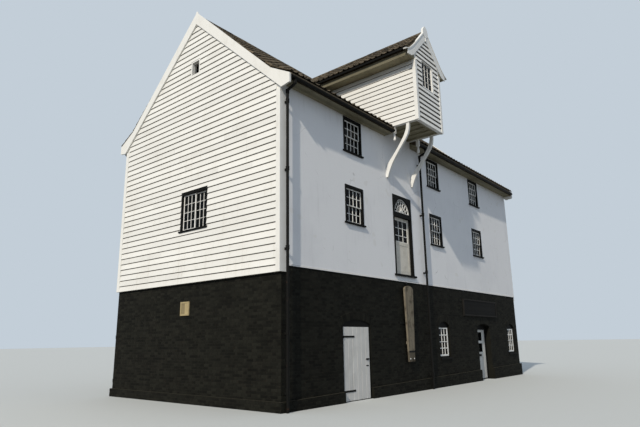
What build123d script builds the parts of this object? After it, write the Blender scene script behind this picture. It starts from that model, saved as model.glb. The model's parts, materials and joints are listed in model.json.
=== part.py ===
from build123d import *

import math
import os

# Watermill with a brick ground storey, a timber-framed upper part and a hoist housing
# (the lucam) that stands out over the front wall on two curved struts.
# Millimetres. The origin is the centre of the plan at ground level, +X runs along the
# building to the right of someone facing the front, and the front wall faces -Y.

# Main block
building_length = 15490.0
building_depth = 7410.0
brick_thickness = 340.0
brick_top = 3424.0
upper_wall_thickness = 200.0
gable_proud = 60.0
gable_board_bottom = 3256.0
soffit_below_knee = 550.0
plaster_lip_depth = 25.0
plaster_lip_height = 45.0
plinth_proud = 60.0
plinth_height_left = 240.0
plinth_height_right = 480.0

# Floors
ground_floor_thickness = 30.0
first_floor_top = 3560.0
second_floor_below_sill = 551.0
second_floor_thickness = 140.0
bin_floor_thickness = 70.0

# Main roof: tile surface over the rafters, with a flatter kick at the eaves
roof_pitch = 41.75
kick_pitch = 29.0
knee_inset = 311.0
knee_height = 8820.0
eaves_overhang = 420.0
roof_thickness = 160.0
tile_edge_thickness = 50.0
fascia_out = 330.0
ridge_tile_radius = 130.0
ridge_tile_rise = 85.0
ridge_tile_gap_at_lucam = 330.0

# Bargeboards of the main gables
barge_thickness = 60.0
barge_foot_out = 395.0
barge_foot_top_below_knee = 412.0
barge_foot_bottom_below_knee = 673.0
barge_bend_below_knee = 19.0
barge_apex_above_ridge = 166.0
barge_apex_depth = 421.0
barge_return_out = 90.0
barge_return_below_knee = 722.0

# Corner boards
corner_board_proud = 25.0
corner_board_side_proud = 20.0
corner_board_front_width = 210.0
corner_board_side_width = 110.0

# Windows of the upper storeys, centres measured from the left end of the brickwork
upper_window_centres = (3130.0, 8240.0, 11880.0)
window_width = 920.0
first_window_bottom = 4902.0
first_window_height = 1184.0
second_window_height = 1146.0
second_window_below_soffit = 23.0
window_frame_side = 62.0
window_frame_head = 90.0
window_frame_sill = 50.0
window_frame_depth = 110.0
window_frame_proud = 12.0
window_sill_out = 55.0
window_sill_extra = 45.0
window_sill_thickness = 45.0
sash_setback = 38.0
sash_thickness = 36.0
sash_stile = 38.0
glass_thickness = 6.0

# Wide sliding window and small attic opening in the gable
gable_window_centre_inward = 3493.0
gable_window_width = 1234.0
gable_window_bottom = 4771.0
gable_window_height = 1234.0
gable_window_mullion = 70.0
attic_opening_width = 440.0
attic_opening_below_ridge = 2049.0
attic_opening_height = 520.0
attic_frame_width = 45.0
attic_frame_depth = 120.0

# Ground storey windows under segmental arches
ground_window_from_left = 8350.0
ground_window_from_right = 750.0
ground_window_width = 820.0
ground_window_bottom = 900.0
ground_window_spring = 2030.0
ground_window_rise = 170.0
ground_window_setback = 90.0
ground_sash_width = 700.0
ground_sash_bottom = 1010.0
ground_sash_top = 1990.0
ground_sill_out = 40.0
ground_sill_thickness = 70.0

# Plank door, hung on its left edge and opening outwards
plank_door_centre = 3054.0
plank_door_width = 1209.0
plank_door_bottom = 12.0
plank_door_top = 1965.0
plank_door_thickness = 45.0
plank_door_setback = 20.0
plank_door_spring = 2030.0
plank_door_rise = 136.0

# Glazed door, set back in a deep reveal, hung on its right edge and opening inwards
glazed_door_centre = 11790.0
glazed_door_width = 1100.0
glazed_door_bottom = 45.0
glazed_door_top = 1940.0
glazed_door_thickness = 45.0
glazed_door_setback = 235.0
glazed_door_spring = 2060.0
glazed_door_rise = 110.0
glazed_pane_width = 640.0
glazed_pane_height = 370.0
glazed_pane_gap = 70.0
glazed_lower_pane_bottom = 1050.0

# Shared by both door frames and their ironwork
door_frame_width = 45.0
door_frame_depth = 90.0
door_gap = 8.0
pin_radius = 6.5
pin_clearance = 0.5
knuckle_radius = 11.0
pin_stand_off = 12.0
knuckle_height = 50.0
strap_length = 500.0
strap_width = 50.0
strap_thickness = 8.0
pintle_gap = 2.0
pintle_height = 22.0
pintle_reach = 24.0
upper_hinge_height = 1700.0
lower_hinge_height = 270.0
latch_height = 1080.0
latch_edge = 30.0
latch_length = 150.0
latch_width = 40.0
glazed_hinge_length = 110.0
glazed_upper_hinge_height = 1650.0

# Loading door of the first floor, with a half-round fanlight in the same frame
loading_centre = 5860.0
loading_frame_width = 1172.0
loading_frame_bottom = 3608.0
loading_frame_top = 6321.0
loading_frame_side = 75.0
loading_frame_depth = 150.0
loading_leaf_top = 5590.0
loading_transom = 150.0
fan_margin = 25.0
loading_setback = 85.0
loading_leaf_thickness = 50.0
loading_glazing_bottom = 4760.0
loading_stile = 95.0
loading_sill_out = 70.0
loading_sill_thickness = 60.0
loading_sill_extra = 60.0

# Lucam
lucam_centre = 5800.0
lucam_width = 1668.0
lucam_projection = 1310.0
lucam_bottom_below_knee = 318.0
lucam_wall_thickness = 110.0
lucam_soffit_below_ridge = 1347.0
lucam_ridge_above_main = 140.8
lucam_knee_out = 1055.0
lucam_eaves_out = 1330.0
lucam_soffit_out = 1230.0
lucam_roof_thickness = 110.0
lucam_joist_width = 75.0
lucam_joist_depth = 45.0
lucam_joist_count = 5
lucam_ridge_radius = 115.0
lucam_ridge_rise = 80.0
lucam_rear_end = 160.0
lucam_window_width = 800.0
lucam_window_above_floor = 1298.0
lucam_window_height = 1000.0
lucam_window_frame = 70.0
lucam_barge_thickness = 45.0
lucam_barge_foot_out = 1290.0
lucam_barge_foot_top_below_ridge = 1140.0
lucam_barge_foot_bottom_below_ridge = 1340.0
lucam_barge_bend_below_ridge = 980.0
lucam_barge_sweep_out = 620.0
lucam_barge_sweep_below_ridge = 550.0
lucam_barge_apex_above_ridge = 255.0
lucam_finial_half = 170.0
lucam_finial_foot_below_ridge = 70.0
lucam_finial_shoulder_above_ridge = 50.0
lucam_finial_curve_out = 100.0
lucam_finial_curve_above_ridge = 180.0
lucam_barge_apex_depth = 540.0
lucam_barge_return_out = 984.0
lucam_barge_return_below_ridge = 1301.0
lucam_corner_width = 90.0
lucam_corner_proud = 15.0

# Curved struts and drop posts under the lucam
strut_thickness = 82.0
strut_top_outer = 965.0
strut_top_inner = 860.0
strut_height = 1690.0
strut_inner_curve = ((668.0, 525.0), (268.0, 1030.0))
strut_outer_curve = ((354.0, 1120.0), (748.0, 607.0))
strut_foot_height = 250.0
strut_foot_depth = 70.0
strut_foot_lean = 0.3
drop_post_out = 318.0
drop_post_size = 100.0
drop_post_length = 506.0
drop_post_block = 240.0
drop_neck_radius = 33.0
drop_neck_height = 190.0
drop_bulb_radius = 50.0
drop_bulb_height = 74.0

# Gutters and downpipes
gutter_radius = 60.0
gutter_wall = 5.0
gutter_rim_below_knee = 470.0
seat_clearance = 0.3
gutter_gap_at_lucam = 25.0
pipe_radius = 38.0
pipe_out = 120.0
pipe_neck_drop = 130.0
pipe_neck_height = 280.0
pipe_elbow_leg = 32.0
pipe_positions = (100.0, 7089.0)
pipe_clip_shares = (0.05, 0.218, 0.47, 0.723, 0.955)
pipe_clip_height = 60.0
pipe_clip_width = 46.0

# Fittings on the front and the left end
sign_centre = 11600.0
sign_width = 3200.0
sign_bottom = 2450.0
sign_height = 640.0
sign_thickness = 40.0
sign_frame_width = 55.0
sign_frame_proud = 20.0
rub_board_centre = 5830.0
rub_board_width = 520.0
rub_board_top = 3290.0
rub_board_shoulder = 3150.0
rub_board_bottom = 920.0
rub_board_foot_width = 340.0
rub_board_thickness = 60.0
rub_board_ledger_depth = 60.0
rub_board_ledger_height = 90.0
rub_board_ledger_width = 300.0
rub_board_ledger_heights = (1500.0, 2850.0)
hatch_centre_inward = 3780.0
hatch_width = 400.0
hatch_bottom = 2350.0
hatch_height = 390.0
hatch_thickness = 35.0
hatch_lap = 20.0

# Places worked out from the sizes above
left_face = -building_length / 2
right_face = building_length / 2
front_face = -building_depth / 2
rear_face = building_depth / 2
half_depth = building_depth / 2
soffit_height = knee_height - soffit_below_knee
second_window_bottom = soffit_height - second_window_below_soffit - second_window_height
second_floor_top = second_window_bottom - second_floor_below_sill
lucam_bottom = knee_height - lucam_bottom_below_knee
lucam_x = left_face + lucam_centre
lucam_left = lucam_x - lucam_width / 2
lucam_right = lucam_x + lucam_width / 2
lucam_front = front_face - lucam_projection
bin_floor_top = lucam_bottom + bin_floor_thickness


def elevation(y):
    """Upright plane facing the front, drawn with x to the right and z up."""
    return Plane(origin=(0, y, 0), x_dir=(1, 0, 0), z_dir=(0, -1, 0))


def section(x):
    """Upright plane across the building, drawn with y to the right and z up."""
    return Plane(origin=(x, 0, 0), x_dir=(0, 1, 0), z_dir=(1, 0, 0))


def slope(pitch):
    return math.tan(math.radians(pitch))


def roof_top(inward):
    """Height of the tile surface at a distance in from the wall face."""
    pitch = roof_pitch if inward > knee_inset else kick_pitch
    return knee_height + (inward - knee_inset) * slope(pitch)


main_ridge_height = roof_top(half_depth)
lucam_ridge_height = main_ridge_height + lucam_ridge_above_main
lucam_soffit_height = lucam_ridge_height - lucam_soffit_below_ridge
lucam_window_bottom = lucam_bottom + lucam_window_above_floor
attic_opening_bottom = main_ridge_height - attic_opening_below_ridge
barge_return_bottom = knee_height - barge_return_below_knee
gutter_rim = knee_height - gutter_rim_below_knee


def knee_shift(thickness):
    """How far the bend under the roof lies further in than the bend on top."""
    main = math.radians(roof_pitch)
    kick = math.radians(kick_pitch)
    rise = 1 / math.cos(main) - 1 / math.cos(kick)
    return thickness * rise / (math.tan(main) - math.tan(kick))


def roof_underside(inward):
    """Height of the underside of the roof at a distance in from the wall face."""
    bend = knee_inset + knee_shift(roof_thickness)
    pitch = roof_pitch if inward > bend else kick_pitch
    drop = roof_thickness / math.cos(math.radians(pitch))
    return knee_height + (inward - knee_inset) * slope(pitch) - drop


def lucam_top(outward):
    """Height of the lucam's tile surface at a distance out from its ridge."""
    if outward < lucam_knee_out:
        return lucam_ridge_height - outward * slope(roof_pitch)
    knee = lucam_ridge_height - lucam_knee_out * slope(roof_pitch)
    return knee - (outward - lucam_knee_out) * slope(kick_pitch)


lucam_bend = lucam_knee_out - knee_shift(lucam_roof_thickness)


def lucam_underside(outward):
    """Height of the underside of the lucam's roof at a distance out from its ridge."""
    if outward < lucam_bend:
        drop = lucam_roof_thickness / math.cos(math.radians(roof_pitch))
        return lucam_ridge_height - outward * slope(roof_pitch) - drop
    knee = lucam_ridge_height - lucam_knee_out * slope(roof_pitch)
    drop = lucam_roof_thickness / math.cos(math.radians(kick_pitch))
    return knee - (outward - lucam_knee_out) * slope(kick_pitch) - drop


lucam_side_top = lucam_underside(lucam_width / 2)
underside_bend = knee_inset + knee_shift(roof_thickness)


def outline(points, mode=Mode.ADD):
    """Closed face from corner points, inside the sketch that is open."""
    Polygon(*points, align=None, mode=mode)


def arched_outline(centre, width, bottom, spring, rise):
    """Opening with a segmental arch, inside the sketch that is open."""
    left = centre - width / 2
    right = centre + width / 2
    with BuildLine() as edge:
        Polyline((left, spring), (left, bottom), (right, bottom), (right, spring))
        ThreePointArc((right, spring), (centre, spring + rise), (left, spring))
    make_face(edge.line)


def plinth_height(x):
    """The plinth's top climbs towards the right end."""
    share = (x - left_face) / building_length
    return plinth_height_left + (plinth_height_right - plinth_height_left) * share


def brick_front(left, right):
    """Stretch of the brick front between two places, with its plinth."""
    with BuildSketch(elevation(front_face)) as wall:
        outline([(left, 0), (right, 0), (right, brick_top), (left, brick_top)])
    extrude(wall.sketch, amount=-brick_thickness)
    with BuildSketch(elevation(front_face)) as plinth:
        outline([(left, 0), (right, 0), (right, plinth_height(right)), (left, plinth_height(left))])
    extrude(plinth.sketch, amount=plinth_proud)


def cut_ground_window(centre):
    """Arched hole through the brick front."""
    with BuildSketch(elevation(front_face)) as hole:
        arched_outline(centre, ground_window_width, ground_window_bottom,
                       ground_window_spring, ground_window_rise)
    extrude(hole.sketch, amount=-brick_thickness, mode=Mode.SUBTRACT)


def save(part, name):
    part.label = name
    export_step(part, f"parts/{name}.step")


os.makedirs("parts", exist_ok=True)

# Doorways of the ground storey
plank_x = left_face + plank_door_centre
plank_opening_width = plank_door_width + 2 * (door_frame_width + door_gap)
plank_left = plank_x - plank_opening_width / 2
plank_right = plank_x + plank_opening_width / 2
glazed_x = left_face + glazed_door_centre
glazed_opening_width = glazed_door_width + 2 * (door_frame_width + door_gap)
glazed_left = glazed_x - glazed_opening_width / 2
glazed_right = glazed_x + glazed_opening_width / 2
ground_window_x = [left_face + ground_window_from_left, right_face - ground_window_from_right]

# Floor of the ground storey, inside the brick walls
with BuildPart() as ground_floor:
    with BuildSketch(Plane.XY):
        Rectangle(building_length - 2 * brick_thickness, building_depth - 2 * brick_thickness)
    extrude(amount=ground_floor_thickness)
save(ground_floor.part, "ground_floor")

# Brick front, split beside and over its two doorways
with BuildPart() as front_wall_left:
    brick_front(left_face, plank_left)
save(front_wall_left.part, "front_wall_left")

with BuildPart() as front_wall_middle:
    brick_front(plank_right, glazed_left)
    cut_ground_window(ground_window_x[0])
save(front_wall_middle.part, "front_wall_middle")

with BuildPart() as front_wall_right:
    brick_front(glazed_right, right_face)
    cut_ground_window(ground_window_x[1])
save(front_wall_right.part, "front_wall_right")

with BuildPart() as walls_over_doors:
    for centre, width, spring, rise in (
        (plank_x, plank_opening_width, plank_door_spring, plank_door_rise),
        (glazed_x, glazed_opening_width, glazed_door_spring, glazed_door_rise),
    ):
        left = centre - width / 2
        right = centre + width / 2
        with BuildSketch(elevation(front_face)):
            with BuildLine():
                Polyline((right, spring), (right, brick_top), (left, brick_top), (left, spring))
                ThreePointArc((left, spring), (centre, spring + rise), (right, spring))
            make_face()
        extrude(amount=-brick_thickness)
save(walls_over_doors.part, "walls_over_doors")

with BuildPart() as rear_wall_brick:
    brick_front(left_face, right_face)
    for x in ground_window_x:
        cut_ground_window(x)
    mirror(about=Plane.XZ, mode=Mode.REPLACE)
save(rear_wall_brick.part, "rear_wall_brick")

inner_depth = building_depth - 2 * brick_thickness
hatch_y = front_face + hatch_centre_inward

with BuildPart() as left_wall_brick:
    with BuildSketch(section(left_face)):
        outline([(-inner_depth / 2, 0), (inner_depth / 2, 0),
                 (inner_depth / 2, brick_top), (-inner_depth / 2, brick_top)])
    extrude(amount=brick_thickness)
    with BuildSketch(section(left_face - plinth_proud)):
        with Locations((0, plinth_height_left / 2)):
            Rectangle(building_depth + 2 * plinth_proud, plinth_height_left)
    extrude(amount=plinth_proud)
    with BuildSketch(section(left_face)):
        with Locations((hatch_y, hatch_bottom + hatch_height / 2)):
            Rectangle(hatch_width - 2 * hatch_lap, hatch_height - 2 * hatch_lap)
    extrude(amount=brick_thickness, mode=Mode.SUBTRACT)
save(left_wall_brick.part, "left_wall_brick")

with BuildPart() as right_wall_brick:
    with BuildSketch(section(right_face - brick_thickness)):
        outline([(-inner_depth / 2, 0), (inner_depth / 2, 0),
                 (inner_depth / 2, brick_top), (-inner_depth / 2, brick_top)])
    extrude(amount=brick_thickness)
    with BuildSketch(section(right_face)):
        with Locations((0, plinth_height_right / 2)):
            Rectangle(building_depth + 2 * plinth_proud, plinth_height_right)
    extrude(amount=plinth_proud)
save(right_wall_brick.part, "right_wall_brick")

# Upper walls: the long walls stand between the gable walls, but the plaster turns the right corner
gable_inner = upper_wall_thickness - gable_proud
upper_left = left_face + gable_inner
upper_right = right_face - gable_inner
window_x = [left_face + centre for centre in upper_window_centres]
window_rows = (
    (first_window_bottom, first_window_height),
    (second_window_bottom, second_window_height),
)
loading_x = left_face + loading_centre


def long_wall(left, right, square_top):
    """Stretch of a long upper wall; its head follows the roof or ends square under the lucam."""
    outer = front_face
    inner = front_face + upper_wall_thickness
    if square_top:
        head = [(inner, lucam_bottom), (outer, lucam_bottom)]
    else:
        head = [(inner, roof_underside(upper_wall_thickness)), (outer, roof_underside(0))]
    with BuildSketch(section(left)) as wall:
        outline([(outer, brick_top), (inner, brick_top)] + head)
    extrude(wall.sketch, amount=right - left)


def cut_upper_windows():
    """Holes for both rows of windows through a long upper wall."""
    with BuildSketch(elevation(front_face)) as holes:
        for bottom, height in window_rows:
            for x in window_x:
                with Locations((x, bottom + height / 2)):
                    Rectangle(window_width, height)
    extrude(holes.sketch, amount=-upper_wall_thickness, mode=Mode.SUBTRACT)


with BuildPart() as front_wall_upper:
    long_wall(upper_left, lucam_left, False)
    long_wall(lucam_left, lucam_right, True)
    long_wall(lucam_right, right_face + gable_proud, False)
    with BuildSketch(section(left_face - gable_proud + corner_board_front_width)):
        outline([
            (front_face, brick_top),
            (front_face - plaster_lip_depth, brick_top),
            (front_face - plaster_lip_depth, brick_top + plaster_lip_height / 3),
            (front_face, brick_top + plaster_lip_height),
        ])
    extrude(amount=building_length + 2 * gable_proud - corner_board_front_width)
    cut_upper_windows()
    with BuildSketch(elevation(front_face)):
        with Locations((loading_x, (loading_frame_bottom + loading_frame_top) / 2)):
            Rectangle(loading_frame_width, loading_frame_top - loading_frame_bottom)
    extrude(amount=-upper_wall_thickness, mode=Mode.SUBTRACT)
save(front_wall_upper.part, "front_wall_upper")

with BuildPart() as rear_wall_upper:
    long_wall(upper_left, upper_right, False)
    cut_upper_windows()
    mirror(about=Plane.XZ, mode=Mode.REPLACE)
save(rear_wall_upper.part, "rear_wall_upper")

gable_window_y = front_face + gable_window_centre_inward


def gable_face(setback):
    """Outline of a boarded gable wall under the roof, its front end set back from the front."""
    bend = front_face + underside_bend
    outline([
        (front_face + setback, brick_top),
        (rear_face, brick_top),
        (rear_face, roof_underside(0)),
        (-bend, roof_underside(underside_bend)),
        (0, roof_underside(half_depth)),
        (bend, roof_underside(underside_bend)),
        (front_face + setback, roof_underside(setback)),
    ])


def cut_gable(x, centre, bottom, width, height):
    """Square hole through a gable wall whose left face is at x."""
    with BuildSketch(section(x)) as hole:
        with Locations((centre, bottom + height / 2)):
            Rectangle(width, height)
    extrude(hole.sketch, amount=upper_wall_thickness, mode=Mode.SUBTRACT)


with BuildPart() as left_gable:
    with BuildSketch(section(left_face - gable_proud)):
        gable_face(0)
    extrude(amount=upper_wall_thickness)
    with BuildSketch(section(left_face - gable_proud)):
        with Locations((0, (gable_board_bottom + brick_top) / 2)):
            Rectangle(building_depth, brick_top - gable_board_bottom)
    extrude(amount=gable_proud)
    cut_gable(left_face - gable_proud, gable_window_y, gable_window_bottom,
              gable_window_width, gable_window_height)
    cut_gable(left_face - gable_proud, 0, attic_opening_bottom,
              attic_opening_width, attic_opening_height)
save(left_gable.part, "left_gable")

with BuildPart() as right_gable:
    with BuildSketch(section(right_face - gable_inner)):
        gable_face(upper_wall_thickness)
    extrude(amount=upper_wall_thickness)
    with BuildSketch(section(right_face)):
        with Locations((0, (gable_board_bottom + brick_top) / 2)):
            Rectangle(building_depth, brick_top - gable_board_bottom)
    extrude(amount=gable_proud)
    cut_gable(right_face - gable_inner, 0, attic_opening_bottom,
              attic_opening_width, attic_opening_height)
save(right_gable.part, "right_gable")

# Upper floors, seated between the inner faces of the upper walls
upper_inner_length = upper_right - upper_left
upper_inner_depth = building_depth - 2 * upper_wall_thickness

with BuildPart() as first_floor:
    with BuildSketch(Plane.XY.offset(brick_top)):
        Rectangle(upper_inner_length, upper_inner_depth)
    extrude(amount=first_floor_top - brick_top)
save(first_floor.part, "first_floor")

with BuildPart() as second_floor:
    with BuildSketch(Plane.XY.offset(second_floor_top - second_floor_thickness)):
        Rectangle(upper_inner_length, upper_inner_depth)
    extrude(amount=second_floor_thickness)
save(second_floor.part, "second_floor")

with BuildPart() as bin_floor:
    with BuildSketch(Plane.XY.offset(lucam_bottom)):
        Rectangle(upper_inner_length, upper_inner_depth)
    extrude(amount=bin_floor_thickness)
save(bin_floor.part, "bin_floor")

# Main roof. The front slope leaves a gap for the lucam from the eaves up to where the
# lucam's side walls run out against it.
roof_left = left_face - gable_proud
roof_right = right_face + gable_proud
notch_inset = knee_inset + (lucam_side_top - knee_height) / slope(roof_pitch)
notch_inset_low = notch_inset + roof_thickness / math.sin(math.radians(roof_pitch))


def front_slope(left, right):
    """Front slope from eaves to ridge between two places along the building."""
    with BuildSketch(section(left)) as slab:
        outline([
            (0, main_ridge_height),
            (front_face + knee_inset, knee_height),
            (front_face - eaves_overhang, roof_top(-eaves_overhang)),
            (front_face - eaves_overhang, roof_top(-eaves_overhang) - tile_edge_thickness),
            (front_face - fascia_out, roof_top(-fascia_out) - tile_edge_thickness),
            (front_face - fascia_out, roof_underside(-fascia_out)),
            (front_face + underside_bend, roof_underside(underside_bend)),
            (0, roof_underside(half_depth)),
        ])
    extrude(slab.sketch, amount=right - left)


with BuildPart() as front_roof_left:
    front_slope(roof_left, lucam_left)
save(front_roof_left.part, "front_roof_left")

with BuildPart() as front_roof_right:
    front_slope(lucam_right, roof_right)
save(front_roof_right.part, "front_roof_right")

with BuildPart() as front_roof_middle:
    with BuildSketch(section(lucam_left)):
        outline([
            (0, main_ridge_height),
            (front_face + notch_inset, lucam_side_top),
            (front_face + notch_inset_low, lucam_side_top),
            (0, roof_underside(half_depth)),
        ])
    extrude(amount=lucam_width)
save(front_roof_middle.part, "front_roof_middle")

with BuildPart() as rear_roof:
    front_slope(roof_left, roof_right)
    mirror(about=Plane.XZ, mode=Mode.REPLACE)
save(rear_roof.part, "rear_roof")


def roof_profile(mode=Mode.ADD):
    """Everything under the main tile surface, as a face across the building."""
    outline([
        (0, main_ridge_height),
        (front_face + knee_inset, knee_height),
        (front_face - eaves_overhang, roof_top(-eaves_overhang)),
        (front_face - eaves_overhang, 0),
        (rear_face + eaves_overhang, 0),
        (rear_face + eaves_overhang, roof_top(-eaves_overhang)),
        (rear_face - knee_inset, knee_height),
    ], mode=mode)


with BuildPart() as ridge_tiles:
    for left, right in (
        (roof_left, lucam_x - ridge_tile_gap_at_lucam),
        (lucam_x + ridge_tile_gap_at_lucam, roof_right),
    ):
        with BuildSketch(section(left)):
            with Locations((0, main_ridge_height + ridge_tile_rise - ridge_tile_radius)):
                Circle(ridge_tile_radius)
            roof_profile(mode=Mode.SUBTRACT)
        extrude(amount=right - left)
save(ridge_tiles.part, "ridge_tiles")

# Boxed soffits under the main eaves and under the eaves of the lucam
lucam_roof_length = lucam_rear_end - lucam_front


def cut_to_main_roof():
    """Cuts away what would lie under the main tile surface, which leaves the valleys."""
    with BuildSketch(section(roof_left)) as under_tiles:
        roof_profile()
    extrude(under_tiles.sketch, amount=roof_right - roof_left, mode=Mode.SUBTRACT)


with BuildPart() as eaves_soffits:
    for left, right in ((roof_left, lucam_left), (lucam_right, roof_right)):
        with BuildSketch(section(left)):
            outline([
                (front_face, soffit_height),
                (front_face - fascia_out, soffit_height),
                (front_face - fascia_out, roof_underside(-fascia_out)),
                (front_face, roof_underside(0)),
            ])
        extrude(amount=right - left)
    with BuildSketch(section(roof_left)):
        outline([
            (rear_face, soffit_height),
            (rear_face + fascia_out, soffit_height),
            (rear_face + fascia_out, roof_underside(-fascia_out)),
            (rear_face, roof_underside(0)),
        ])
    extrude(amount=roof_right - roof_left)
save(eaves_soffits.part, "eaves_soffits")

with BuildPart() as lucam_soffits:
    with BuildSketch(elevation(lucam_front)):
        for side in (-1, 1):
            outline([
                (lucam_x + side * lucam_width / 2, lucam_soffit_height),
                (lucam_x + side * lucam_soffit_out, lucam_soffit_height),
                (lucam_x + side * lucam_soffit_out, lucam_underside(lucam_soffit_out)),
                (lucam_x + side * lucam_bend, lucam_underside(lucam_bend)),
                (lucam_x + side * lucam_width / 2, lucam_underside(lucam_width / 2)),
            ])
    extrude(amount=-lucam_roof_length)
    cut_to_main_roof()
save(lucam_soffits.part, "lucam_soffits")

# Bargeboards of the main gables, with their boxed feet at the eaves
barge_apex = main_ridge_height + barge_apex_above_ridge

with BuildPart() as bargeboards:
    for x in (roof_left - barge_thickness, roof_right):
        with BuildSketch(section(x)):
            outline([
                (front_face - barge_foot_out, knee_height - barge_foot_bottom_below_knee),
                (front_face - barge_foot_out, knee_height - barge_foot_top_below_knee),
                (front_face + knee_inset, knee_height - barge_bend_below_knee),
                (0, barge_apex),
                (rear_face - knee_inset, knee_height - barge_bend_below_knee),
                (rear_face + barge_foot_out, knee_height - barge_foot_top_below_knee),
                (rear_face + barge_foot_out, knee_height - barge_foot_bottom_below_knee),
                (rear_face + barge_return_out, barge_return_bottom),
                (0, barge_apex - barge_apex_depth),
                (front_face - barge_return_out, barge_return_bottom),
            ])
        extrude(amount=barge_thickness)
save(bargeboards.part, "bargeboards")

# Lucam: walls, floor on cantilevered joists, roof and bargeboards
with BuildPart() as lucam_side_walls:
    for x in (lucam_left, lucam_right - lucam_wall_thickness):
        with BuildSketch(section(x)):
            outline([
                (lucam_front + lucam_wall_thickness, lucam_bottom),
                (front_face, lucam_bottom),
                (front_face, lucam_bottom + bin_floor_thickness),
                (front_face + upper_wall_thickness, bin_floor_top),
                (front_face + underside_bend, roof_underside(underside_bend)),
                (front_face + notch_inset_low, lucam_side_top),
                (lucam_front + lucam_wall_thickness, lucam_side_top),
            ])
        extrude(amount=lucam_wall_thickness)
save(lucam_side_walls.part, "lucam_side_walls")

with BuildPart() as lucam_front_wall:
    with BuildSketch(elevation(lucam_front)):
        outline([
            (lucam_left, lucam_bottom),
            (lucam_right, lucam_bottom),
            (lucam_right, lucam_underside(lucam_width / 2)),
            (lucam_x, lucam_underside(0)),
            (lucam_left, lucam_underside(lucam_width / 2)),
        ])
        with Locations((lucam_x, lucam_window_bottom + lucam_window_height / 2)):
            Rectangle(lucam_window_width, lucam_window_height, mode=Mode.SUBTRACT)
    extrude(amount=-lucam_wall_thickness)
save(lucam_front_wall.part, "lucam_front_wall")

floor_inner_width = lucam_width - 2 * lucam_wall_thickness
floor_run = lucam_projection - lucam_wall_thickness
joist_spacing = (floor_inner_width - lucam_joist_width) / (lucam_joist_count - 1)

with BuildPart() as lucam_floor:
    with BuildSketch(Plane.XY.offset(lucam_bottom + lucam_joist_depth)):
        with Locations((lucam_x, front_face - floor_run / 2)):
            Rectangle(floor_inner_width, floor_run)
    extrude(amount=bin_floor_thickness - lucam_joist_depth)
    with BuildSketch(Plane.XY.offset(lucam_bottom)):
        with Locations((lucam_x, front_face - floor_run / 2)):
            with GridLocations(joist_spacing, 0, lucam_joist_count, 1):
                Rectangle(lucam_joist_width, floor_run)
        with Locations((lucam_x, front_face - floor_run + lucam_joist_width / 2)):
            Rectangle(floor_inner_width, lucam_joist_width)
    extrude(amount=lucam_joist_depth)
    with BuildSketch(Plane.XY.offset(lucam_bottom)):
        with Locations((lucam_x, front_face + upper_wall_thickness / 2)):
            Rectangle(lucam_width, upper_wall_thickness)
    extrude(amount=bin_floor_thickness)
save(lucam_floor.part, "lucam_floor")


def lucam_profile():
    """Lucam roof, both slopes, as a face across the lucam."""
    top = [(lucam_x + side * out, lucam_top(out)) for side, out in (
        (-1, lucam_eaves_out), (-1, lucam_knee_out), (1, 0), (1, lucam_knee_out),
        (1, lucam_eaves_out))]
    edge = lucam_top(lucam_eaves_out) - tile_edge_thickness
    lip = lucam_top(lucam_soffit_out) - tile_edge_thickness
    under = [
        (lucam_x + lucam_eaves_out, edge),
        (lucam_x + lucam_soffit_out, lip),
        (lucam_x + lucam_soffit_out, lucam_underside(lucam_soffit_out)),
        (lucam_x + lucam_bend, lucam_underside(lucam_bend)),
        (lucam_x, lucam_underside(0)),
        (lucam_x - lucam_bend, lucam_underside(lucam_bend)),
        (lucam_x - lucam_soffit_out, lucam_underside(lucam_soffit_out)),
        (lucam_x - lucam_soffit_out, lip),
        (lucam_x - lucam_eaves_out, edge),
    ]
    outline(top + under)


with BuildPart() as lucam_roof:
    with BuildSketch(elevation(lucam_front)):
        lucam_profile()
    extrude(amount=-lucam_roof_length)
    cut_to_main_roof()
save(lucam_roof.part, "lucam_roof")

with BuildPart() as lucam_ridge_tiles:
    with BuildSketch(elevation(lucam_front)):
        with Locations((lucam_x, lucam_ridge_height + lucam_ridge_rise - lucam_ridge_radius)):
            Circle(lucam_ridge_radius)
        outline([
            (lucam_x, lucam_ridge_height),
            (lucam_x + lucam_knee_out, lucam_top(lucam_knee_out)),
            (lucam_x, 0),
            (lucam_x - lucam_knee_out, lucam_top(lucam_knee_out)),
        ], mode=Mode.SUBTRACT)
    extrude(amount=-lucam_roof_length)
save(lucam_ridge_tiles.part, "lucam_ridge_tiles")

lucam_barge_foot_top = lucam_ridge_height - lucam_barge_foot_top_below_ridge
lucam_barge_foot_bottom = lucam_ridge_height - lucam_barge_foot_bottom_below_ridge
lucam_barge_bend = lucam_ridge_height - lucam_barge_bend_below_ridge
lucam_barge_sweep = lucam_ridge_height - lucam_barge_sweep_below_ridge
lucam_barge_apex = lucam_ridge_height + lucam_barge_apex_above_ridge
lucam_finial_foot = lucam_ridge_height - lucam_finial_foot_below_ridge
lucam_finial_shoulder = lucam_ridge_height + lucam_finial_shoulder_above_ridge
lucam_finial_curve = lucam_ridge_height + lucam_finial_curve_above_ridge
lucam_barge_return = lucam_ridge_height - lucam_barge_return_below_ridge


def lucam_barge_top(side):
    """Upper edge of one leg of the lucam's bargeboard: a hollow sweep, a slope and half the finial."""
    foot = (lucam_x + side * lucam_barge_foot_out, lucam_barge_foot_top)
    bend = (lucam_x + side * lucam_knee_out, lucam_barge_bend)
    sweep_end = (lucam_x + side * lucam_barge_sweep_out, lucam_barge_sweep)
    finial_foot = (lucam_x + side * lucam_finial_half, lucam_finial_foot)
    shoulder = (lucam_x + side * lucam_finial_half, lucam_finial_shoulder)
    curve = (lucam_x + side * lucam_finial_curve_out, lucam_finial_curve)
    ThreePointArc(foot, bend, sweep_end)
    Polyline(sweep_end, finial_foot, shoulder)
    ThreePointArc(shoulder, curve, (lucam_x, lucam_barge_apex))


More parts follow.
